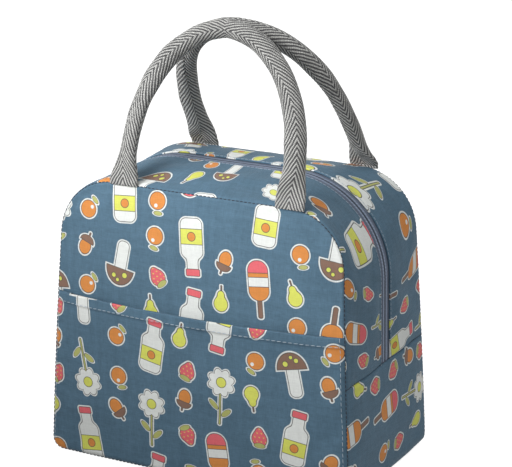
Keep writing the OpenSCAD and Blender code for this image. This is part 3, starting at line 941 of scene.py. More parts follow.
def handle_parts(which, tuck=2.6, step=0.52):
    """Rings of points round a handle, with the distance round the webbing from its
    outer middle and along it from the nearer foot."""
    h = mm("handles")
    a = 180 * smooth(np.linspace(0, 1, 4001))
    run = run_along(arch(a, which))
    total = run[-1]
    at = np.linspace(0, total, int(total / step) + 1)
    angles = np.interp(at, run, a)
    ahead, behind = (arch(np.clip(angles + d, 0, 180), which) for d in (0.4, -0.4))
    way = ahead - behind
    way[0], way[-1] = (0, 0, 1), (0, 0, -1)
    way /= np.linalg.norm(way, axis=1, keepdims=True)
    # Both ends go on straight down a little, into the fold
    centre = arch(angles, which)
    down = np.arange(tuck, 0, -step)
    straight = np.outer(down, (0, 0, 1))
    centre = np.concatenate([centre[0] - straight, centre, centre[-1] - straight[::-1]])
    way = np.concatenate(
        [np.tile(way[0], (len(down), 1)), way, np.tile(way[-1], (len(down), 1))]
    )
    along = np.concatenate([-down, np.minimum(at, total - at), -down[::-1]])
    ends = np.ones(len(down))
    right = np.concatenate([ends, np.where(at < total / 2, 1, -1), -ends])
    # The folded webbing opens into a leg, and the leg closes into the round grip
    up = centre[:, 2] - handle_foot_z()
    opened = smooth(up / h.leg_from)
    gripped = smooth((up - h.grip_from) / (h.grip_to - h.grip_from))
    turn = LEG_TWIST * right * opened * (1 - gripped)
    face = np.stack([-np.sin(turn), np.cos(turn), 0 * turn], 1)
    thick = face - way * (face * way).sum(1, keepdims=True)
    thick /= np.linalg.norm(thick, axis=1, keepdims=True)
    wide = np.cross(thick, way)

    def half(folded, leg):
        return folded + (leg / 2 - folded) * opened + (h.grip_r - leg / 2) * gripped

    half_w, half_t = half(h.strap_w / 2, h.leg_w), half(h.webbing_t, h.leg_t)
    power = 2 / (2 + 3.0 * (1 - opened))
    f = np.radians(np.linspace(90, 450, 721))
    c, s = np.cos(f), np.sin(f)
    rings, u = [], []
    for k in range(len(centre)):
        x = half_w[k] * np.sign(c) * np.abs(c) ** power[k]
        y = half_t[k] * np.sign(s) * np.abs(s) ** power[k]
        d = run_along(np.stack([x, y], 1))
        want = np.linspace(0, d[-1], SIDES + 1)[:-1]
        x, y = np.interp(want, d, x), np.interp(want, d, y)
        rings.append(centre[k] + np.outer(x, wide[k]) + np.outer(y, thick[k]))
        u.append(want - d[-1] / 2)
    rings, u = np.array(rings), np.array(u)
    v = np.broadcast_to(along[:, None], u.shape)
    out = np.cross(
        np.roll(rings, -1, 1) - np.roll(rings, 1, 1), np.gradient(rings, axis=0)
    )
    out /= np.linalg.norm(out, axis=2, keepdims=True)
    if ((rings - rings.mean(1, keepdims=True)) * out).sum() < 0:
        out = -out
    chevron = np.abs((u / h.column_w + 1) % 2 - 1) * h.column_w
    phase = (v + chevron * math.tan(RIB_LEAN)) * math.cos(RIB_LEAN) / h.rib_pitch
    rib = h.rib * np.cos(2 * math.pi * phase)
    edge = -u.min(1, keepdims=True)
    lap = h.lap_t * smooth((u - edge + 8) / 6) * opened[:, None]
    soft = 0.22 * waves(np.stack([u, v + 400 * (right[:, None] > 0)], -1), 77, 16, 50)
    return rings + out * (rib + lap + soft * opened[:, None])[..., None], u, v


def handle_tabs(flip):
    """Tubes of the webbing's two flat ends, sewn in behind the lining."""
    b, _ = sizes()
    h = mm("handles")
    panel, _ = outlines()
    x1 = (h.spacing + h.strap_w) / 2 + abs(h.shift)
    r = panel.r - (b.wall_t + LINING_GAP + b.binding_t)
    u = max(0, x1 - panel.cx)
    top = panel.cz + math.sqrt(r * r - u * u) - 0.6
    y = float(face_y(x1, top)) + b.wall_t + GAP + h.webbing_t
    f = np.linspace(0, 2 * math.pi, 41)[:-1]
    c, s = np.cos(f), np.sin(f)
    ring_x = (h.strap_w / 2) * np.sign(c) * np.abs(c) ** 0.25
    ring_y = h.webbing_t * np.sign(s) * np.abs(s) ** 0.4
    # Distance under the top, and share of the full size there
    rows = [(q, 1) for q in np.linspace(13, 1, 12)]
    rows = [(14, 0.9), (13.7, 0.98), *rows, (0.3, 0.98), (0, 0.9)]
    tubes = []
    for side in (-1, 1):
        x = h.shift + side * h.spacing / 2
        rings = [
            np.column_stack(
                [x + ring_x * (1 - (1 - k) * 0.15), y + ring_y * k, np.full(len(f), top - q)]
            )
            for q, k in rows
        ]
        tubes.append(flip(np.array(rings)))
    return tubes


# ---- Zip ----

# Across the tape, from under the cloth to the slot
TAPE_COLUMNS = [9, 8, 7, 6.2, 5.4, 4.6, 4.0, 3.5, 3.1, 2.7, 2.2, 1.7, 1.2, 0.85]


def tape_parts():
    """Outer and inner points of the front half of the zip tape, raised over its coil."""
    _, z = sizes()
    s, length = evenly(round_panel, 0, 5, z.coil_pitch / 4)
    run = np.linspace(0, length, len(s))
    edge = z.slot / 2
    y = -np.array([z.band / 2 + z.lap, *TAPE_COLUMNS, edge, edge - 0.1])
    coil = smooth((3.9 + y) / 0.9)
    groove = np.exp(-(((y + 4.6) / 0.5) ** 2))
    turn = 0.5 + 0.5 * np.cos(2 * math.pi * run / z.coil_pitch)
    over_turn = (0.16 * turn[:, None]) * coil[None, :]
    depth = z.cloth_t + 0.05 - 0.42 * coil[None, :] - over_turn + 0.12 * groove[None, :]
    lip = np.where(np.abs(y) < edge, 0.5, np.where(np.abs(y) < edge + 0.3, 0.12, 0))
    depth = depth + lip
    yy = np.broadcast_to(y[None, :], depth.shape)
    inner = zip_point(s[:, None], yy, depth + z.tape_t * 0.8)
    return zip_point(s[:, None], yy, depth), inner, strip_cut(run, yy)


def along_zip(y, depth, step):
    """A line of points along the zip gusset, with the way out of the cloth."""
    s, _ = evenly(round_panel, 0, 5, step)
    p, q = (zip_point(s, np.full(len(s), y), d) for d in (depth, depth - 1))
    return p, q - p


def on_left_side(rings, z):
    """Turns rings from the slider's own axes, X into the bag and Z along the zip, to the
    zip's left side at height z."""
    _, zip_line = outlines()
    c, s = math.cos(zip_line.a), math.sin(zip_line.a)
    x, y, up = rings[..., 0], rings[..., 1], rings[..., 2]
    return np.stack([c * x + s * up - side_x(zip_line, z), y, c * up - s * x + z], -1)


def slab(outline, x0, x1, bevel):
    """Rings of a flat piece with this outline of (y, z) points and rounded edges."""
    outline = np.asarray(outline, float)
    middle = outline.mean(0)
    reach = np.linalg.norm(outline - middle, axis=1, keepdims=True)
    rings = []
    for k in np.linspace(0, math.pi / 2, 4):
        rings.append((x0 + bevel * (1 - math.sin(k)), bevel * (1 - math.cos(k))))
    rings = sorted(rings[::-1] + [(x1 - (x - x0), i) for x, i in rings])
    return np.array(
        [
            np.column_stack(
                [np.full(len(outline), x), middle + (outline - middle) * (1 - i / reach)]
            )
            for x, i in rings
        ]
    )


def rounded(w0, w1, z0, z1, r, count=6):
    """A rounded outline of (y, z), of width w0 at z0 and w1 at z1."""
    corners = (
        (w1 / 2 - r, z1 - r, 0),
        (-w1 / 2 + r, z1 - r, 90),
        (-w0 / 2 + r, z0 + r, 180),
        (w0 / 2 - r, z0 + r, 270),
    )
    return [
        (cy + r * math.cos(f), cz + r * math.sin(f))
        for cy, cz, a in corners
        for f in np.radians(np.linspace(a, a + 90, count))
    ]


def bent_rod(points, r, sides=12):
    """Rings of a round rod along points."""
    points = np.asarray(points, float)
    way = np.gradient(points, axis=0)
    way /= np.linalg.norm(way, axis=1, keepdims=True)
    side = np.cross(way, np.where(np.abs(way[:, 1:2]) > 0.9, [1.0, 0, 0], [0, 1.0, 0]))
    side /= np.linalg.norm(side, axis=1, keepdims=True)
    other = np.cross(way, side)
    f = np.linspace(0, 2 * math.pi, sides + 1)[:-1]
    return (
        points[:, None, :]
        + r * np.cos(f)[None, :, None] * side[:, None, :]
        + r * np.sin(f)[None, :, None] * other[:, None, :]
    )


# ---- Tapes inside ----

LINING_GAP = 0.3  # Between the lining and the tape over the panels' upper seams
# How a tape thins towards its two edges
TAPE_EDGE = np.array([0.25, 0.05, 0, 0, 0, 0, 0, 0.05, 0.25])[None, :]


def panel_tape_parts():
    """Outer and inner points and cut of the tape over the front panel's upper seam."""
    b, _ = sizes()
    s, run, _ = strip_nodes(step=2.6)
    near = b.wall_t + GAP
    t = np.linspace(near, near + b.binding_w, 9)[None, :]
    y = seam_at(s)[:, None] + t
    depth = b.wall_t + LINING_GAP
    wave = 0.25 * waves(run, 61, 14, 45)[:, None] * smooth((t - near) / 4)
    inner = depth + b.binding_t - TAPE_EDGE + np.maximum(wave, 0)
    outer = zip_point(s[:, None], y, depth + TAPE_EDGE)
    return outer, zip_point(s[:, None], y, inner), strip_cut(run, t)


def base_tape_parts():
    b, _ = sizes()
    s, run, _ = strip_nodes(lower=True, step=2.6)
    t = np.linspace(0, b.binding_w, 9)[None, :] + b.wall_t + GAP
    y = seam_at(s, True)[:, None] + t
    outline = under(outlines()[0], b.side_seam_z - 0.2, s)
    depth = b.wall_t + GAP
    inner = sunk(*outline, y, depth + b.binding_t - TAPE_EDGE)
    return sunk(*outline, y, depth + TAPE_EDGE), inner, strip_cut(run, t)


def side_tape_parts():
    b, _ = sizes()
    panel, _ = outlines()
    top = b.side_seam_z - 0.15
    far = -float(face_y(side_x(panel, top), top)) - b.wall_t - b.binding_w - 0.5
    run = np.linspace(-far, far, 40)
    drop = np.linspace(0, b.binding_w, 9)[None, :]
    z = top - drop + 0 * run[:, None]
    y = run[:, None] + 0 * z
    x = side_x(panel, z) - (b.wall_t + GAP)
    outer = np.stack([x - TAPE_EDGE, y, z], -1)
    inner = np.stack([x - (b.binding_t - TAPE_EDGE), y, z], -1)
    return outer, inner, strip_cut(run, drop)


# ---- Node trees ----


class Value:
    """A number in a node tree, so that patterns can be written as sums."""

    def __init__(self, pen, socket):
        self.pen, self.socket = pen, socket

    def before(self, operation, other):
        return self.pen.math(operation, self, other)

    def after(self, operation, other):
        return self.pen.math(operation, other, self)

    __add__ = partialmethod(before, "ADD")
    __radd__ = partialmethod(after, "ADD")
    __sub__ = partialmethod(before, "SUBTRACT")
    __rsub__ = partialmethod(after, "SUBTRACT")
    __mul__ = partialmethod(before, "MULTIPLY")
    __rmul__ = partialmethod(after, "MULTIPLY")
    __truediv__ = partialmethod(before, "DIVIDE")


class Pen:
    """Adds nodes to one tree."""

    def __init__(self, tree):
        self.tree = tree

    def node(self, kind, inputs=None, **settings):
        """A node with these settings, and its inputs by name or number."""
        node = self.tree.nodes.new(kind)
        for key, value in settings.items():
            setattr(node, key, value)
        for key, value in (inputs or {}).items():
            self.put(node.inputs[key], value)
        return node

    def put(self, target, value):
        if isinstance(value, Value):
            value = value.socket
        if isinstance(value, bpy.types.NodeSocket):
            self.tree.links.new(value, target)
        else:
            target.default_value = value

    def math(self, operation, *values):
        node = self.node("ShaderNodeMath", dict(enumerate(values)), operation=operation)
        return Value(self, node.outputs[0])

    absolute = partialmethod(math, "ABSOLUTE")
    floor = partialmethod(math, "FLOOR")
    sine = partialmethod(math, "SINE")
    cosine = partialmethod(math, "COSINE")
    root = partialmethod(math, "SQRT")
    less = partialmethod(math, "LESS_THAN")
    least = partialmethod(math, "MINIMUM")
    most = partialmethod(math, "MAXIMUM")
    blend = partialmethod(math, "SMOOTH_MIN")
    zigzag = partialmethod(math, "PINGPONG")

    def ramp(self, value, low, high, to_low=0.0, to_high=1.0):
        values = dict(enumerate((value, low, high, to_low, to_high)))
        node = self.node("ShaderNodeMapRange", values, interpolation_type="SMOOTHSTEP")
        return Value(self, node.outputs[0])

    def split(self, vector):
        outputs = self.node("ShaderNodeSeparateXYZ", {0: vector}).outputs
        return [Value(self, s) for s in outputs]

    def join(self, x, y, z):
        return self.node("ShaderNodeCombineXYZ", {0: x, 1: y, 2: z}).outputs[0]

    def scaled(self, vector, factor):
        values = {0: vector, "Scale": factor}
        return self.node("ShaderNodeVectorMath", values, operation="SCALE").outputs[0]

    def mix(self, share, a, b):
        values = {"Factor": share, 6: a, 7: b}
        return self.node("ShaderNodeMix", values, data_type="RGBA").outputs[2]

    def noise(self, vector, scale, detail, roughness=0.5):
        values = {"Vector": vector, "Scale": scale, "Detail": detail, "Roughness": roughness}
        node = self.node("ShaderNodeTexNoise", values, noise_dimensions="3D")
        return Value(self, node.outputs[0])

    def chance(self, x, y, seed):
        """Four random numbers for this cell."""
        cell = {"Vector": self.join(x, y, seed)}
        node = self.node("ShaderNodeTexWhiteNoise", cell, noise_dimensions="3D")
        colour = self.node("ShaderNodeSeparateColor", {0: node.outputs["Color"]})
        return [Value(self, s) for s in (node.outputs["Value"], *colour.outputs)]

    def use(self, group, **values):
        """Places a node group, and gives its outputs: numbers as values."""
        node = self.node("ShaderNodeGroup", values, node_tree=group)
        return [s if s.type == "RGBA" else Value(self, s) for s in node.outputs]

    def seen(self):
        """1 where the camera sees a thing itself, or in a reflection or through glass."""
        path = self.node("ShaderNodeLightPath").outputs
        kinds = ("Is Camera Ray", "Is Glossy Ray", "Is Transmission Ray")
        camera, glossy, through = (Value(self, path[kind]) for kind in kinds)
        return self.most(camera, self.most(glossy, through))


SOCKETS = {
    "number": "NodeSocketFloat",
    "vector": "NodeSocketVector",
    "colour": "NodeSocketColor",
}


def shader_group(name, inputs, outputs, build):
    """A shader node group, built once. Inputs have a name and a number to start from, or
    None for a vector. build gets the pen and the inputs, and gives the outputs in order."""
    tree = bpy.data.node_groups.get(name)
    if tree:
        return tree
    tree = bpy.data.node_groups.new(name, "ShaderNodeTree")
    for label, default in inputs.items():
        kind = SOCKETS["vector" if default is None else "number"]
        item = tree.interface.new_socket(label, in_out="INPUT", socket_type=kind)
        if default is not None:
            item.default_value = default
    for label, kind in outputs.items():
        tree.interface.new_socket(label, in_out="OUTPUT", socket_type=SOCKETS[kind])
    pen = Pen(tree)
    given = pen.node("NodeGroupInput").outputs
    values = [
        s if default is None else Value(pen, s) for s, default in zip(given, inputs.values())
    ]
    pen.node("NodeGroupOutput", dict(enumerate(build(pen, *values))))
    return tree


# ---- Stitches and coils, as geometry nodes ----

COPY_INPUTS = [
    ("Lines", "NodeSocketGeometry", None, None),
    ("Spacing", "NodeSocketFloat", 0.004, "DISTANCE"),
    ("Length", "NodeSocketFloat", 0.003, "DISTANCE"),
    ("Width", "NodeSocketFloat", 0.0005, "DISTANCE"),
    ("Height", "NodeSocketFloat", 0.0005, "DISTANCE"),
    ("Lean", "NodeSocketFloat", 0.0, "ANGLE"),
    ("Finish", "NodeSocketMaterial", None, None),
]


def copies_tree(name):
    """A node tree that lays copies of a small shape along lines: stitches, or the turns
    of a coil."""
    tree = bpy.data.node_groups.new(name, "GeometryNodeTree")
    new_socket = tree.interface.new_socket
    for label, kind, value, subtype in COPY_INPUTS:
        item = new_socket(label, in_out="INPUT", socket_type=kind)
        if subtype:
            item.default_value, item.subtype = value, subtype
    new_socket("Copies", in_out="OUTPUT", socket_type="NodeSocketGeometry")
    pen = Pen(tree)
    given = pen.node("NodeGroupInput").outputs

    def result(kind, inputs, output=0, **settings):
        return pen.node(kind, inputs, **settings).outputs[output]

    if name == "Coil turns":
        circle = "GeometryNodeCurvePrimitiveCircle"
        turn = result(circle, {"Resolution": 9, "Radius": 0.5})
        wire = result(circle, {"Resolution": 4, "Radius": 0.22})
        shape = result("GeometryNodeCurveToMesh", {"Curve": turn, "Profile Curve": wire})
    else:
        ball = {"Segments": 7, "Rings": 6, "Radius": 0.5}
        shape = result("GeometryNodeMeshUVSphere", ball)
    upright = {"Geometry": shape, "Rotation": (0, math.pi / 2, 0)}
    shape = result("GeometryNodeTransform", upright)

    curve = result("GeometryNodeMeshToCurve", {"Mesh": given["Lines"]})
    spaced = {"Curve": curve, "Length": given["Spacing"]}
    points = pen.node("GeometryNodeCurveToPoints", spaced, mode="LENGTH")
    up = result(
        "GeometryNodeInputNamedAttribute", {"Name": "Up"}, "Attribute",
        data_type="FLOAT_VECTOR",
    )
    way = result(
        "FunctionNodeAxesToRotation", {0: points.outputs["Tangent"], 1: up},
        primary_axis="X", secondary_axis="Z",
    )
    lean = pen.join(0.0, 0.0, given["Lean"])
    way = result(
        "FunctionNodeRotateRotation", {"Rotation": way, "Rotate By": lean},
        rotation_space="LOCAL",
    )
    copies = {
        "Points": points.outputs["Points"],
        "Instance": shape,
        "Rotation": way,
        "Scale": pen.join(given["Length"], given["Width"], given["Height"]),
    }
    real = result(
        "GeometryNodeRealizeInstances", {0: result("GeometryNodeInstanceOnPoints", copies)}
    )
    soft = result("GeometryNodeSetShadeSmooth", {0: real})
    done = result("GeometryNodeSetMaterial", {0: soft, "Material": given["Finish"]})
    pen.node("NodeGroupOutput", {0: done})
    return tree


def laid_along(name, tree_name, lines, values, finish):
    """Copies laid along lines of (points, up) by a node tree, baked to one mesh. The
    values are in millimetres, but for the lean."""
    tree = bpy.data.node_groups.get(tree_name) or copies_tree(tree_name)
    co, ups, edges, at = [], [], [], 0
    for p, up in lines:
        co.append(np.asarray(p, float))
        ups.append(np.broadcast_to(up, np.shape(p)))
        edges += [(at + i, at + i + 1) for i in range(len(p) - 1)]
        at += len(p)
    carrier = new_object(name + "_lines", np.concatenate(co), [], edges=edges)
    way = carrier.data.attributes.new("Up", "FLOAT_VECTOR", "POINT")
    way.data.foreach_set("vector", np.concatenate(ups).astype(np.float32).ravel())
    mod = carrier.modifiers.new("Along", "NODES")
    mod.node_group = tree
    sockets = {i.name: i.identifier for i in tree.interface.items_tree if i.in_out == "INPUT"}
    for label, value in values.items():
        mod[sockets[label]] = float(value if label == "Lean" else value * MM)
    mod[sockets["Finish"]] = finish
    graph = bpy.context.evaluated_depsgraph_get()
    baked = bpy.data.meshes.new_from_object(
        carrier.evaluated_get(graph), preserve_all_data_layers=True, depsgraph=graph
    )
    baked.name = name
    bpy.data.objects.remove(carrier)
    obj = bpy.data.objects.new(name, baked)
    bpy.context.scene.collection.objects.link(obj)
    if not baked.materials or baked.materials[0] is None:
        baked.materials.clear()
        baked.materials.append(finish)
    if not len(baked.polygons):
        raise RuntimeError(f"{name} has no copies")
    return obj


def stitches(name, lines, finish, length, gap, radius):
    values = {
        "Spacing": length + gap,
        "Length": length,
        "Width": 2 * radius,
        "Height": 2 * radius,
        "Lean": 0.06,
    }
    return laid_along(name, "Stitches", lines, values, finish)


# ---- Effects that several finishes share ----


def woven():
    """Plain weave with uneven yarns and broad streaky mottle, partly uneven tone and partly
    painted sheen: a shade round 1 and a height from 0 to 1.
    """

    def build(pen, place, pitch, contrast, slub, mottle):
        x, y, z = pen.split(place)
        a = pen.absolute(pen.sine(x * math.pi / pitch))
        b = pen.absolute(pen.sine(y * math.pi / pitch))
        cell = pen.floor(x / pitch) + pen.floor(y / pitch)
        odd = pen.math("MODULO", pen.absolute(cell), 2.0)
        yarn = a * odd + b * (1.0 - odd)
        warp = pen.noise(pen.join(x * 3.2, y * 0.34, z), 0.55, 3.0, 0.6)
        weft = pen.noise(pen.join(x * 0.34, y * 3.2, z + 7.0), 0.55, 3.0, 0.6)
        # Long streaks along and across the weave and broad patches: uneven tone, and partly a
        # painted sheen
        tall = pen.noise(pen.join(x * 0.3, y * 0.03, z + 3.0), 1.0, 2.0)
        wide = pen.noise(pen.join(x * 0.03, y * 0.3, z + 5.0), 1.0, 2.0)
        mottle_and_sheen = (pen.noise(place, 0.035, 2.0) + tall + wide - 1.5) * mottle
        shade = 1.0 + (yarn - 0.6) * contrast + (warp + weft - 1.0) * slub + mottle_and_sheen
        return [shade, yarn * 0.7 + (warp + weft) * 0.6]

    return shader_group(
        "Woven cloth",
        {"Place": None, "Pitch": 0.5, "Contrast": 0.2, "Slub": 0.4, "Mottle": 0.1},
        {"Shade": "number", "Height": "number"},
        build,
    )


def creased():
    """Crinkles of a thin foil: a height and a mask of its sharp folds, which the foil lining
    darkens as painted shade.
    """

    def build(pen, place):
        bent = pen.noise(place, 0.09, 3.0, 0.6)
        x, y, z = pen.split(place)
        moved = pen.join(x + bent * 26.0, y - bent * 22.0, z + bent * 18.0)
        cells = {"Vector": moved, "Scale": 0.06}
        fold = pen.node("ShaderNodeTexVoronoi", cells, feature="DISTANCE_TO_EDGE")
        edge = pen.ramp(fold.outputs[0], 0.0, 0.07, 1.0, 0.0)
        return [bent * 0.8 + edge * 0.35, edge]

    outputs = {"Height": "number", "Folds": "number"}
    return shader_group("Creased foil", {"Place": None}, outputs, build)


# ---- The print ----


def turned(pen, x, y, angle):
    c, s = pen.cosine(angle), pen.sine(angle)
    return x * c + y * s, y * c - x * s


def disc(pen, x, y, cx, cy, r, squash=1.0):
    """Distance outside a disc, or with squash an ellipse that much wider than high."""
    dx, dy = x - cx, (y - cy) * squash
    return pen.root(dx * dx + dy * dy) - r


def block(pen, x, y, cx, cy, w, h, r):
    """Distance outside a rounded block of half width w and half height h."""
    dx = pen.most(pen.absolute(x - cx) - (w - r), 0.0)
    dy = pen.most(pen.absolute(y - cy) - (h - r), 0.0)
    return pen.root(dx * dx + dy * dy) - r


def leaf(pen, x, y, angle, length, squash):
    return disc(pen, *turned(pen, x, y, angle), 0, 0, length, squash)


def inside(pen, d, edge=0.12):
    return pen.ramp(d, -edge, edge, 1.0, 0.0)


def layered(pen, base, *layers):
    """Colours laid over each other, each with a dark line round it."""
    for d, tint in layers:
        rim = inside(pen, pen.absolute(d) - 0.22, 0.1)
        base = pen.mix(rim, pen.mix(inside(pen, d), base, ink(tint)), ink("line"))
    return base


# Each motif gives the distance outside its shape and its colour, from x and y in
# millimetres in its own frame.


def bottle(pen, x, y):
    body = block(pen, x, y, 0, -5, 8.2, 13.5, 4.5)
    neck = block(pen, x, y, 0, 11, 4.2, 7, 1.5)
    glass = pen.blend(body, neck, 4.0)
    cap = block(pen, x, y, 0, 18.2, 5.2, 2.4, 1.0)
    band = pen.most(block(pen, x, y, 0, -6, 9.5, 5.2, 0.5), glass)
    dot = disc(pen, x, y, 0, -6, 3.0)
    parts = (band, "yellow"), (dot, "orange"), (cap, "coral")
    return [pen.least(glass, cap), layered(pen, ink("white"), *parts)]


def daisy(pen, x, y):
    stem = block(pen, x, y, 0, -9, 0.75, 12.5, 0.7)
    leaf_a = leaf(pen, x - 4.6, y + 12, 0.75, 4.4, 2.3)
    leaf_b = leaf(pen, x + 4.6, y + 7.5, -0.75, 4.4, 2.3)
    green = pen.least(stem, pen.least(leaf_a, leaf_b))
    up = y - 9.5
    r = pen.root(x * x + up * up)
    angle = pen.math("ARCTAN2", up, x)
    petals = r - (7.6 + 2.4 * pen.absolute(pen.sine(angle * 4.0)))
    parts = (petals, "white"), (r - 3.6, "yellow")
    return [pen.least(green, petals), layered(pen, ink("olive"), *parts)]


def mushroom(pen, x, y):
    stem = block(pen, x, y, 0, -8, 4.4, 11, 3.6)
    cap = pen.most(disc(pen, x, y, 0, -0.5, 10.8, 0.86), -1.0 * y + 0.2)
    spots = pen.least(
        disc(pen, x, y, -4.2, 4.2, 2.0),
        pen.least(disc(pen, x, y, 4.0, 6.2, 1.7), disc(pen, x, y, 0.6, 8.6, 1.4)),
    )
    parts = (cap, "brown"), (spots, "yellow")
    return [pen.least(stem, cap), layered(pen, ink("white"), *parts)]


def lolly(pen, x, y):
    stick = block(pen, x, y, 0, -14, 1.7, 6.8, 1.3)
    ice = block(pen, x, y, 0, 4.5, 7.4, 13.5, 7.0)
    stripe = pen.most(block(pen, x, y, 0, 3.5, 9.5, 3.2, 0.4), ice)
    tip = pen.most(ice, 9.6 - y)
    parts = (ice, "orange"), (stripe, "white"), (tip, "coral")
    return [pen.least(stick, ice), layered(pen, ink("brown"), *parts)]


def strawberry(pen, x, y):
    fruit = pen.blend(disc(pen, x, y, 0, 1.2, 5.6), disc(pen, x, y, 0, -4.6, 2.2), 5.0)
    leaves = disc(pen, x, y, 0, 6.0, 4.2, 2.2)
    seeds = pen.zigzag(x + y * 0.5, 1.6) + pen.zigzag(y, 1.5)
    tint = pen.mix(inside(pen, seeds - 0.55, 0.2), ink("coral"), ink("yellow"))
    return [pen.least(fruit, leaves), layered(pen, tint, (leaves, "olive"))]


def round_fruit(pen, x, y):
    fruit = disc(pen, x, y, 0, -1, 6.0)
    shine = disc(pen, x, y, 2.2, 1.6, 1.3)
    stalk = leaf(pen, x - 2.6, y - 7.0, -0.45, 3.2, 2.1)
    tint = pen.mix(inside(pen, shine), ink("orange"), ink("white"))
    return [pen.least(fruit, stalk), layered(pen, tint, (stalk, "olive"))]


def acorn(pen, x, y):
    nut = disc(pen, x, y, 0, -2.4, 4.6, 0.8)
    cup = pen.most(disc(pen, x, y, 0, 1.4, 5.6, 1.25), 1.0 - y)
    cap = pen.least(cup, block(pen, x, y, 0.6, 6.6, 0.6, 1.7, 0.5))
    return [pen.least(nut, cap), layered(pen, ink("orange"), (cap, "brown"))]


def pear(pen, x, y):
    fruit = pen.blend(disc(pen, x, y, 0, -3.0, 5.2), disc(pen, x, y, 0, 3.6, 2.5), 4.5)
    stalk = block(pen, x, y, 0.3, 8.0, 0.5, 1.8, 0.4)
    return [pen.least(fruit, stalk), layered(pen, ink("brown"), (fruit, "yellow"))]


def motif_group(draw):
    """A printed motif as a group of its own."""
    name = draw.__name__.replace("_", " ").capitalize()
    outputs = {"Distance": "number", "Colour": "colour"}
    return shader_group(name, {"X": 0.0, "Y": 0.0}, outputs, draw)


def scatter(pen, u, v, pitch, height, offset, turn, motifs, seed, jitter, skip=0.0):
    """One motif in each cell of staggered columns: its distance and its colour."""
    column = pen.floor((u + offset) / pitch)
    across = u + offset - (column + 0.5) * pitch
    stagger = pen.math("MODULO", pen.absolute(column), 2.0) * (height / 2)
    row = pen.floor((v + stagger) / height)
    upward = v + stagger - (row + 0.5) * height
    kind, r, g, b = pen.chance(column + 0.5, row + 0.5, seed)
    x = across + (r - 0.5) * (2 * jitter)
    y = upward + (g - 0.5) * (2 * jitter)
    upside = pen.less(b, 0.42)
    angle = (kind * 7.31 - pen.floor(kind * 7.31) - 0.5) * (2 * turn) + upside * math.pi
    x, y = turned(pen, x, y, angle)
    distance, tint = pen.use(motif_group(motifs[0]), X=x, Y=y)
    for i, draw in enumerate(motifs[1:], 1):
        other, other_tint = pen.use(motif_group(draw), X=x, Y=y)
        here = pen.less(i / len(motifs), kind)
        distance = distance * (1.0 - here) + other * here
        tint = pen.mix(here, tint, other_tint)
    bare = pen.less(r * 9.7 - pen.floor(r * 9.7), skip)
    return distance + bare * 50.0, tint


def fruit_print():
    """The all-over print: its colour, how much of it covers the cloth, and the pale
    border round it."""

    def build(pen, place):
        u, v, _ = pen.split(place)
        big, big_tint = scatter(
            pen, u, v, 53.0, 50.0, 26.5, 0.21, [bottle, daisy, mushroom, lolly], 3.0, 2.4
        )
        small, small_tint = scatter(
            pen, u, v, 53.0, 25.0, 0.0, 0.7, [strawberry, round_fruit, acorn, pear],
            13.0, 3.0, 0.22,
        )
        d = pen.least(big, small)
        tint = pen.mix(pen.less(small, big), big_tint, small_tint)
        tint = pen.mix(inside(pen, pen.absolute(d) - 0.26, 0.12), tint, ink("line"))
        return [tint, inside(pen, d - 0.2, 0.1), inside(pen, d - 1.15, 0.16)]

    return shader_group(
        "Fruit print",
        {"Place": None},
        {"Colour": "colour", "Cover": "number", "Halo": "number"},
        build,
    )


# ---- Finishes ----


def on_cut(pen):
    """Where a point lies on its piece's cut, in millimetres."""
    return pen.scaled(pen.node("ShaderNodeUVMap", uv_map="Cut").outputs[0], 1 / MM)


def in_bag(pen):
    """Where a point lies in the bag, in millimetres."""
    return pen.scaled(pen.node("ShaderNodeTexCoord").outputs["Object"], 1 / MM)


def tinted(pen, tint, shade):
    """A colour made lighter or darker by a shade round 1."""
    return pen.scaled(tint[:3] if isinstance(tint, tuple) else tint, shade)


def new_tree(owner):
    owner.use_nodes = True
    owner.node_tree.nodes.clear()
    return Pen(owner.node_tree)


def material(name, build, **shader):
    """A material. build gets the pen, and gives the colour, the ramp of the roughness,
    and the relief's height, depth in millimetres and strength."""
    mat = bpy.data.materials.get(name)
    if mat:
        return mat
    mat = bpy.data.materials.new(name)
    pen = new_tree(mat)
    tint, rough, (height, depth, strength) = build(pen)
    relief = {"Height": height, "Distance": depth * MM, "Strength": strength}
    skin = {
        **{key.replace("_", " "): value for key, value in shader.items()},
        "Base Color": tint,
        "Roughness": pen.ramp(*rough),
        "Normal": pen.node("ShaderNodeBump", relief).outputs[0],
    }
    skin = pen.node("ShaderNodeBsdfPrincipled", skin)
    pen.node("ShaderNodeOutputMaterial", {0: skin.outputs[0]})
    return mat


# How far the print is moved on each piece, in millimetres
PRINT_AT = {
    "front": (4, 9),
    "back": (27, -14),
    "base": (19, 6),
    "front top": (12, -8),
    "back top": (-9, 15),
    "pocket": (31, -17),
}


def cloth(name):
    """Printed cloth of one of these pieces."""

    def build(pen):
        place = on_cut(pen)
        shift = (*PRINT_AT[name], 0)
        moved = pen.node("ShaderNodeMapping", {0: place, "Location": shift})
        shade, height = pen.use(
            woven(), Place=place, Pitch=0.62, Contrast=0.1, Slub=0.5, Mottle=0.26
        )
        drawn, cover, halo = pen.use(fruit_print(), Place=moved.outputs[0])
        ground = pen.mix(halo * 0.92, ink("cloth"), ink("white"))
        inked = pen.mix(cover * 0.93, ground, drawn)
        thread = 1.0 + (shade - 1.0) * (1.0 - cover * 0.55)
        return tinted(pen, inked, thread), (height, 0.2, 1.3, 0.62, 0.5), (height, 0.16, 0.55)

    return material(
        f"Printed cloth, {name}", build,
        Specular_IOR_Level=0.05, Sheen_Weight=0.03, Sheen_Roughness=0.4,
    )


def foil():
    def build(pen):
        height, folds = pen.use(creased(), Place=in_bag(pen))
        # Painted shade: the sharp folds are tinted a fifth of the way towards the darker metal
        # grey
        tint = pen.mix(folds * 0.2, ink("foil"), ink("metal"))
        return tint, (height, 0.2, 1.0, 0.26, 0.46), (height, 1.2, 0.7)

    return material("Foil lining", build, Metallic=0.5)


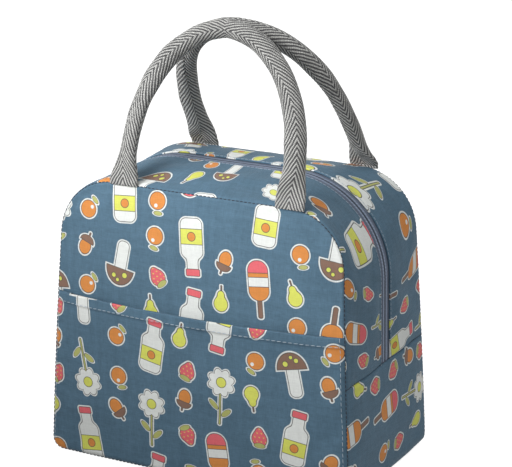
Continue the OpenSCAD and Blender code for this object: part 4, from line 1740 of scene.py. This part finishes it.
def webbing():
    """Herringbone on the handles, with its ribs where the shape has them."""

    def build(pen):
        h = mm("handles")
        place = on_cut(pen)
        u, v, _ = pen.split(place)
        w = h.column_w
        chevron = pen.absolute(pen.math("FLOORED_MODULO", u / w + 1.0, 2.0) - 1.0) * w
        phase = (v + chevron * math.tan(RIB_LEAN)) * (math.cos(RIB_LEAN) / h.rib_pitch)
        wander = (pen.noise(place, 0.12, 3.0) - 0.5) * 0.9
        stripe = pen.cosine((phase + wander) * (2 * math.pi))
        light = pen.ramp(stripe, -0.55, 0.75)
        twill = pen.sine((chevron * 0.5 - v * 0.86) * (2 * math.pi / 1.15))
        bead = pen.sine((chevron * 0.86 + v * 0.5) * (2 * math.pi / 0.95))
        yarn = twill * 0.7 + bead * 0.3
        fleck = pen.noise(place, 1.1, 2.0, 0.6)
        tint = pen.mix(light, ink("webbing_dark"), ink("webbing_light"))
        tint = tinted(pen, tint, 1.0 + yarn * 0.24 + (fleck - 0.5) * 0.8)
        height = yarn * 0.5 + fleck * 0.5 + stripe * 0.3
        return tint, (yarn, -1.0, 1.0, 0.78, 0.62), (height, 0.3, 0.8)

    return material("Herringbone webbing", build, Specular_IOR_Level=0.3, Sheen_Weight=0.1)


def webbing_ends():
    def build(pen):
        place = in_bag(pen)
        x, _, z = pen.split(place)
        stripe = pen.sine((x * 0.87 + z * 0.5) * (2 * math.pi / 1.95))
        light = pen.ramp(stripe, -0.6, 0.6)
        fleck = pen.noise(place, 1.4, 2.0, 0.6)
        tint = pen.mix(light, ink("webbing_dark"), ink("webbing_light"))
        tint = tinted(pen, tint, 0.9 + (fleck - 0.5) * 0.5)
        return tint, (fleck, 0.3, 0.7, 0.8, 0.65), (stripe * 0.5 + fleck, 0.3, 0.8)

    return material("Webbing ends", build, Specular_IOR_Level=0.3)


def binding_tape():
    def build(pen):
        shade, height = pen.use(
            woven(), Place=on_cut(pen), Pitch=0.9, Contrast=0.4, Slub=0.3, Mottle=0.1
        )
        tint = tinted(pen, ink("binding"), shade)
        return tint, (height, 0.2, 1.3, 0.75, 0.6), (height, 0.15, 0.8)

    return material("Binding tape", build, Specular_IOR_Level=0.3)


def zip_tape():
    """Woven tape with a painted highlight on the ridge over each row of coil and painted shade
    along the slot.
    """

    def build(pen):
        place = on_cut(pen)
        u, v, _ = pen.split(place)
        # Masks of the ridge over each coil row and of the tape beside the slot, used for a
        # painted highlight and a painted shade
        ridge = inside(pen, pen.absolute(v + 2.0) - 0.75, 0.5)
        rib = pen.sine(u * (2 * math.pi / 1.35))
        edge = inside(pen, pen.absolute(v + 0.8) - 0.3, 0.2)
        shade, height = pen.use(
            woven(), Place=place, Pitch=0.55, Contrast=0.3, Slub=0.35, Mottle=0.12
        )
        # Painted light: the ridge is lightened as a highlight, rippled by the ribs, and the
        # tape beside the slot is darkened as its shade
        shade = shade * (1.0 + ridge * 1.0 + ridge * rib * 0.35 - edge * 0.5)
        tint = tinted(pen, ink("tape"), shade)
        return tint, (height, 0.2, 1.3, 0.7, 0.5), (height + rib * 0.3, 0.15, 0.8)

    return material("Zip tape", build, Specular_IOR_Level=0.3)


def thread(name, tint):
    def build(pen):
        place = in_bag(pen)
        x, y, z = pen.split(place)
        twist = pen.sine((x + y + z) * (2 * math.pi / 0.5))
        fleck = pen.noise(place, 2.0, 2.0)
        shade = 1.0 + twist * 0.08 + (fleck - 0.5) * 0.3
        return tinted(pen, ink(tint), shade), (twist, -1.0, 1.0, 0.6, 0.42), (twist, 0.05, 0.6)

    return material(name, build, Specular_IOR_Level=0.4)


def moulded(name, tint, metallic, rough, wear):
    """Plated metal or moulded plastic, a little scuffed."""

    def build(pen):
        place = in_bag(pen)
        scuff = pen.noise(place, 0.35, 4.0, 0.65)
        x, y, z = pen.split(place)
        brush = pen.noise(pen.join(x * 4.0, y * 4.0, z * 0.4), 0.9, 3.0)
        shade = 1.0 + (scuff - 0.5) * wear + (brush - 0.5) * wear
        height = brush * 0.5 + scuff * 0.5
        return tinted(pen, ink(tint), shade), (scuff, 0.3, 0.7, *rough), (height, 0.05, 0.5)

    return material(name, build, Metallic=metallic)


def plated():
    return moulded("Plated metal", "metal", 0.9, (0.28, 0.5), 0.25)


def cotton():
    def build(pen):
        place = in_bag(pen)
        x, y, z = pen.split(place)
        lay = pen.sine((x * 0.8 + y * 0.5 + z * 0.8) * (2 * math.pi / 2.6))
        fuzz = pen.noise(place, 1.1, 4.0, 0.65)
        tint = tinted(pen, ink("cord"), 1.0 + lay * 0.14 + (fuzz - 0.5) * 0.4)
        return tint, (fuzz, 0.3, 0.7, 0.95, 0.8), (lay * 0.6 + fuzz * 0.4, 0.5, 0.8)

    return material("Cotton cord", build, Specular_IOR_Level=0.2)


def studio_floor():
    """A pale floor that shows white where nothing shades it."""
    mat = bpy.data.materials.new("Studio floor")
    pen = new_tree(mat)
    grain = pen.noise(in_bag(pen), 0.02, 3.0)
    tint = tinted(pen, ink("floor"), 1.0 + (grain - 0.5) * 0.04)
    skin = {"Base Color": tint, "Roughness": 0.9, "Specular IOR Level": 0.1}
    skin = pen.node("ShaderNodeBsdfPrincipled", skin).outputs[0]
    glow = pen.node("ShaderNodeEmission", {"Strength": pen.seen() * 0.9}).outputs[0]
    both = pen.node("ShaderNodeAddShader", {0: skin, 1: glow}).outputs[0]
    pen.node("ShaderNodeOutputMaterial", {0: both})
    return mat


# ---- How pieces join the model ----


def sewn_on(obj, body, nodes=()):
    """Puts a finished piece in place and hides the model's parts that it stands for. A piece
    of a half has its place baked into its mesh; any other piece is hung on its body's empty,
    to move with it."""
    if body.endswith("_half"):
        b, _ = sizes()
        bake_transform(obj)
    else:
        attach(obj, body)
    if nodes:
        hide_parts(*nodes)


def faced(where, parts, cut_turn=(1, 1)):
    """A part made for the front, turned to where it belongs. Its cut is turned too."""
    if where == "front":
        return parts
    outer, inner, cut, *quads = parts
    return to_back(outer), to_back(inner), cut * cut_turn, *quads


class LunchBagOperator:
    """What all the operators share."""

    bl_options = {"REGISTER", "UNDO"}

    def execute(self, context):
        self.build(context)
        return {"FINISHED"}


FLOOR_R = 6000  # Half the floor's width
FLOOR_DROP = 0.4  # Of the floor under the bag's base
# World light, and each lamp's place, target, size, spread in degrees and power
SKY = 0.62
LAMPS = [
    ("Key", (-0.2, -0.42, 0.56), (-0.01, -0.05, 0.285), (0.4, 0.2), 57, 0.3),
    ("Front", (-0.15, -0.5, 0.4), (-0.01, -0.06, 0.2), (0.4, 0.12), 45, 0.163),
    ("Top fill", (0.3, 0.6, 0.9), (0.0, 0.0, 0.15), (0.8, 0.8), 180, 0.69),
]


class LUNCHBAG_OT_stage(LunchBagOperator, bpy.types.Operator):
    """Makes the studio floor, the lamps, the backdrop and the camera"""

    bl_idname = "lunchbag.stage"
    bl_label = "Stage, light and camera"

    def build(self, context):
        scene = context.scene
        r = FLOOR_R
        corners = [(-r, -r, 0), (r, -r, 0), (r, r, 0), (-r, r, 0)]
        floor = new_object("studio_floor", corners, [(0, 1, 2, 3)], [studio_floor()])
        floor.location.z = -FLOOR_DROP * MM

        scene.world = scene.world or bpy.data.worlds.new("Studio")
        pen = new_tree(scene.world)
        light = {0: (1, 1, 1, 1), 1: pen.ramp(pen.seen(), 0.0, 1.0, SKY, 1.0)}
        sky = pen.node("ShaderNodeBackground", light)
        pen.node("ShaderNodeOutputWorld", {0: sky.outputs[0]})

        for name, at, target, wide, spread, power in LAMPS:
            lamp = bpy.data.lights.new(name, "AREA")
            lamp.shape, lamp.size, lamp.size_y = "RECTANGLE", *wide
            lamp.energy, lamp.spread = power, math.radians(spread)
            obj = bpy.data.objects.new(name, lamp)
            obj.location, obj.visible_camera = at, False
            aim = Vector(target) - Vector(at)
            obj.rotation_euler = aim.to_track_quat("-Z", "Y").to_euler()
            scene.collection.objects.link(obj)

        lens = bpy.data.cameras.new("Camera")
        lens.sensor_width, lens.lens = 36.0, 164.22
        camera = bpy.data.objects.new("Camera", lens)
        camera.location = (0.70898, -1.35256, 0.63207)
        camera.rotation_euler = (math.radians(90 - 17.333), 0, math.radians(27.23))
        scene.collection.objects.link(camera)
        scene.camera = camera


class LUNCHBAG_OT_settle(LunchBagOperator, bpy.types.Operator):
    """Lets the padded cloth settle between its seams"""

    bl_idname = "lunchbag.settle"
    bl_label = "Settle the cloth"

    def build(self, context):
        DRAPE.update(settle(coarse_grids(), pressure=1.5, slack=0.008, cap=2.0))


class LUNCHBAG_OT_panels(LunchBagOperator, bpy.types.Operator):
    """Makes the padded front and back panels"""

    bl_idname = "lunchbag.panels"
    bl_label = "Front and back panels"

    def build(self, context):
        for where in WHERE:
            part = faced(where, panel_parts(where), (-1, 1))
            obj = shell_piece(f"{where}_face_panel", [part], [cloth(where), foil()])
            nodes = [
                f"{where}_{layer}_{level}"
                for layer in ("panel", "foam", "lining")
                for level in ("lower", "upper")
            ]
            sewn_on(obj, f"{where}_half", nodes)


class LUNCHBAG_OT_gussets(LunchBagOperator, bpy.types.Operator):
    """Makes the padded gusset round the base and the two beside the zip"""

    bl_idname = "lunchbag.gussets"
    bl_label = "Gussets"

    def build(self, context):
        obj = shell_piece("base_gusset", [lower_gusset_parts()], [cloth("base"), foil()])
        layers = "", "_foam", "_lining"
        nodes = ["lower_gusset" + layer for layer in layers]
        sewn_on(obj, "base", nodes)
        for where in WHERE:
            part = faced(where, zip_gusset_parts("zip_" + where), (1, -1))
            finishes = [cloth(where + " top"), foil()]
            obj = shell_piece(f"{where}_top_gusset", [part], finishes)
            nodes = [f"{where}_zip_gusset{layer}" for layer in layers]
            sewn_on(obj, f"{where}_half", nodes)


class LUNCHBAG_OT_pocket(LunchBagOperator, bpy.types.Operator):
    """Makes the slip pocket on the front, with its hem and topstitching"""

    bl_idname = "lunchbag.pocket"
    bl_label = "Slip pocket"

    def build(self, context):
        p = mm("pocket")
        obj = shell_piece("slip_pocket", [pocket_parts()], [cloth("pocket")])
        nodes = ["pocket_lower", "pocket_upper", "pocket_hem"]
        sewn_on(obj, "front_half", nodes)
        out = np.array([0, -1.0, 0])
        x = np.linspace(-1, 1, 140) * (panel_half_width(np.array(p.height), 0) - 4.5)
        z = np.full(len(x), p.height - p.hem_h + 0.7)
        lines = [(pocket_surface(x, z, p.hem_t + 0.05), out)]
        z = np.linspace(9, p.height - 1.5, 80)
        lift = p.hem_t * (z > p.height - p.hem_h) + 0.05
        for side in (-1, 1):
            x = (panel_half_width(z, 0) - 2.2 - roll()[0][0]) * side
            lines.append((pocket_surface(x, z, lift), out))
        pale = thread("Pale thread", "thread")
        stitch = p.stitch_l, p.stitch_gap, p.stitch_r
        obj = stitches("pocket_topstitch", lines, pale, *stitch)
        sewn_on(obj, "front_half")


class LUNCHBAG_OT_zip(LunchBagOperator, bpy.types.Operator):
    """Makes the zip's tapes, coils, end stops and the stitching beside it"""

    bl_idname = "lunchbag.zip"
    bl_label = "Zip"

    def build(self, context):
        b, z = sizes()
        coil = moulded("Coil", "coil", 0.0, (0.35, 0.55), 0.3)
        coil_y = -(z.slot / 2 + z.coil_w / 2)
        coil_sizes = {
            "Spacing": z.coil_pitch,
            "Length": z.coil_pitch * 0.86,
            "Width": z.coil_w * 0.82,
            "Height": z.coil_t * 0.68,
            "Lean": 0.12,
        }
        tape_back = z.cloth_t + z.tape_t
        for where in WHERE:
            flip, half = facing(where), f"{where}_half"
            obj = shell_piece(f"{where}_tape", [faced(where, tape_parts())], [zip_tape()])
            sewn_on(obj, half, [f"{where}_zip_tape"])

            row = [flip(a) for a in along_zip(coil_y, tape_back + z.coil_t / 2, 4.0)]
            obj = laid_along(f"{where}_coil_turns", "Coil turns", [row], coil_sizes, coil)
            sewn_on(obj, half, [f"{where}_zip_coil"])

            x = tape_back + z.coil_t + GAP
            stop = slab(rounded(z.coil_w, z.coil_w, 0, z.stop_l, 0.5), x, x + 1.0, 0.3)
            stop = on_left_side(stop + (0, coil_y, 0), b.side_seam_z + 0.3) * (-1, 1, 1)
            obj = tube_piece(f"{where}_end_stop", [flip(stop)], plated())
            sewn_on(obj, half, [f"{where}_zip_stop"])

            # Real topstitching along the cloth's folded edge, in thread paler than the cloth
            # that also paints the fold's highlight
            row = [flip(a) for a in along_zip(-(z.band / 2 + 0.9), -0.55, 3.0)]
            edge = thread("Edge thread, painted fold highlight", "zip_lip_highlight_thread")
            obj = stitches(f"{where}_zip_topstitch", [row], edge, 2.6, 0.6, 0.2)
            sewn_on(obj, half)


class LUNCHBAG_OT_slider(LunchBagOperator, bpy.types.Operator):
    """Makes the zip's slider and the pull that swings from it"""

    bl_idname = "lunchbag.slider"
    bl_label = "Slider and pull"

    def build(self, context):
        b, z = sizes()
        self.at = b.side_seam_z + z.slider_park
        play, ear = 0.35, 0.9  # Beside the tape, and round the pull's pin
        out_x = z.cloth_t - play - z.plate_t
        in_x = z.cloth_t + z.tape_t + z.coil_t + play
        pin_x = out_x - ear - 0.4
        w, half = z.slider_w, z.slider_l / 2
        plate = rounded(w * 0.8, w, -half, half, 2.0)
        ridge = rounded(w * 0.5, w * 0.66, 1 - half, half - 1, 1.4)
        inner = rounded(w * 0.64, w * 0.8, -half, half, 1.8)
        post = rounded(0.6, 0.6, -half, 3 - half, 0.2)
        # The bridge over the pull's pin, wider than it is thick
        f, r = np.radians(np.linspace(-58, 58, 15)), 1.35
        bow = np.stack([pin_x - r * np.cos(f), 0 * f, r * np.sin(f)], 1)
        legs = np.array([[out_x + 0.3, 0, -2.5], [out_x - 0.4, 0, -2.1]])
        path = np.concatenate([legs, bow, (legs * (1, 1, -1))[::-1]])
        spine = path[:, None, :]
        rod, wider = 0.34, (1, 4.2, 1)
        bridge = spine + (bent_rod(path, rod) - spine) * wider
        self.place(
            "slider_body",
            "zip_slider",
            slab(plate, out_x, out_x + z.plate_t, 0.4),
            slab(ridge, out_x - 0.3, out_x + 0.5, 0.25),
            slab(inner, in_x, in_x + z.plate_t, 0.4),
            slab(post, out_x + 0.5, in_x + 0.6, 0.1),
            bridge,
        )

        w, cheek, near = z.pull_w, 5.6, pin_x - ear
        pin = [(pin_x, y, 0) for y in np.linspace(-w / 2 + 0.1, w / 2 - 0.1, 6)]
        tab = rounded(w, w - 0.6, -z.pull_l, -cheek + 0.4, 2.0)
        raised = rounded(w - 2.6, w - 3.0, 1.6 - z.pull_l, -cheek - 1.2, 1.2)
        arm = np.array(rounded(1.2, 1.2, -cheek - 0.6, 0.5, 0.5))
        self.place(
            "pull_tab",
            "zip_pull",
            bent_rod(pin, ear - 0.05),
            slab(tab, near, near + z.pull_t, 0.35),
            slab(raised, near - 0.22, near + 0.3, 0.15),
            *(
                slab(arm + (side * (w / 2 - 0.7), 0), near + 0.05, near + z.pull_t, 0.25)
                for side in (-1, 1)
            ),
        )

    def place(self, name, node, *tubes):
        """Makes a metal piece of the zip's body of this name, at the slider's height."""
        obj = tube_piece(name, [on_left_side(rings, self.at) for rings in tubes], plated())
        sewn_on(obj, node, [node])


class LUNCHBAG_OT_bindings(LunchBagOperator, bpy.types.Operator):
    """Makes the tapes bound over the seams inside the bag"""

    bl_idname = "lunchbag.bindings"
    bl_label = "Inside bindings"

    def build(self, context):
        tape = [binding_tape()]
        for where in WHERE:
            obj = shell_piece(f"{where}_seam_tape", [faced(where, panel_tape_parts())], tape)
            sewn_on(obj, f"{where}_half", [f"{where}_binding"])
        parts = [faced(where, base_tape_parts()) for where in WHERE]
        obj = shell_piece("base_seam_tapes", parts, tape)
        sewn_on(obj, "base", ["base_bindings"])
        outer, inner, cut = side_tape_parts()
        parts = [(outer * (side, 1, 1), inner * (side, 1, 1), cut) for side in (1, -1)]
        obj = shell_piece("side_seam_tapes", parts, tape)
        sewn_on(obj, "base", ["side_seam_bindings"])


class LUNCHBAG_OT_seams(LunchBagOperator, bpy.types.Operator):
    """Sews the stitches that sink into the seams round both panels, their dark thread partly a
    painted shade of the seam grooves
    """

    bl_idname = "lunchbag.seams"
    bl_label = "Seam stitches"

    def build(self, context):
        b, _ = sizes()
        panel, _ = outlines()
        # The stitches are real, but their dark thread also paints the shade in the seam
        # grooves
        dark = thread("Dark thread", "dark_thread")
        length, gap = 2.5, 0.5
        s = evenly(round_panel, 0, 5, length + gap)[0]
        top = zip_point(s, seam_at(s) + b.seam_sink, b.seam_sink)
        s = evenly(lambda s: round_panel(s, True), 0, 5, length + gap)[0]
        y = (seam_at(s, True) + b.seam_sink)[:, None]
        low = sunk(*round_panel(s, True), y, b.seam_sink)[:, 0]
        out = np.array([0, -1.0, 0])
        for where in WHERE:
            flip = facing(where)
            for kind, body, row in (("seam", f"{where}_half", top), ("base", "base", low)):
                line = [(flip(row), flip(out))]
                obj = stitches(f"{where}_{kind}_stitches", line, dark, length, gap, 0.38)
                sewn_on(obj, body)
        z = b.side_seam_z
        y = np.linspace(-1, 1, 40) * (-float(seam_at(np.array([0.0]))[0]) - 2.0)
        x = side_x(panel, z) - 0.15 + 0 * y
        row = np.stack([x, y, z + 0 * y], 1)
        lines = [(row * (side, 1, 1), np.array([side, 0, 0])) for side in (-1, 1)]
        obj = stitches("side_seam_stitches", lines, dark, length, gap, 0.3)
        sewn_on(obj, "base")


class LUNCHBAG_OT_handles(LunchBagOperator, bpy.types.Operator):
    """Makes the two webbing handles, their cords' finish and their sewn ends"""

    bl_idname = "lunchbag.handles"
    bl_label = "Handles"

    def build(self, context):
        for where in WHERE:
            flip = facing(where)
            rings, u, v = handle_parts(where)
            obj = tube_piece(f"{where}_carry_handle", [flip(rings)], webbing(), (u, v))
            sewn_on(obj, f"{where}_handle", [f"{where}_handle"])
            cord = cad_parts[f"{where}_handle_cord"].data.materials
            cord.clear()
            cord.append(cotton())
            obj = tube_piece(f"{where}_handle_tabs", handle_tabs(flip), webbing_ends())
            sewn_on(obj, f"{where}_half", [f"{where}_handle_ends"])


# ---- The add-on ----

PROPERTIES = [
    ("lunch_bag_body", LunchBagBody),
    ("lunch_bag_zip", LunchBagZip),
    ("lunch_bag_pocket", LunchBagPocket),
    ("lunch_bag_handles", LunchBagHandles),
    ("lunch_bag_colours", LunchBagColours),
]
OPERATORS = [
    LUNCHBAG_OT_stage,
    LUNCHBAG_OT_settle,
    LUNCHBAG_OT_panels,
    LUNCHBAG_OT_gussets,
    LUNCHBAG_OT_pocket,
    LUNCHBAG_OT_zip,
    LUNCHBAG_OT_slider,
    LUNCHBAG_OT_bindings,
    LUNCHBAG_OT_seams,
    LUNCHBAG_OT_handles,
]


class LUNCHBAG_PT_panel(bpy.types.Panel):
    """Lists the bag's sizes and the steps that build it"""

    bl_idname = "LUNCHBAG_PT_panel"
    bl_label = "Lunch bag"
    bl_space_type = "VIEW_3D"
    bl_region_type = "UI"
    bl_category = "Lunch bag"

    def draw(self, context):
        for operator in OPERATORS:
            self.layout.operator(operator.bl_idname)
        for name, group in PROPERTIES:
            box = self.layout.box()
            box.label(text=group.__doc__.rstrip("."))
            for prop in group.__annotations__:
                box.prop(getattr(context.scene, name), prop)


CLASSES = [group for _, group in PROPERTIES] + OPERATORS + [LUNCHBAG_PT_panel]


def register():
    for c in CLASSES:
        bpy.utils.register_class(c)
    for name, group in PROPERTIES:
        setattr(bpy.types.Scene, name, PointerProperty(type=group))


def unregister():
    for name, _ in PROPERTIES:
        delattr(bpy.types.Scene, name)
    for c in reversed(CLASSES):
        bpy.utils.unregister_class(c)


def main():
    register()
    bpy.context.scene.view_settings.view_transform = "Standard"
    for operator in OPERATORS:
        area, name = operator.bl_idname.split(".")
        getattr(getattr(bpy.ops, area), name)()


if __name__ == "__main__":
    main()
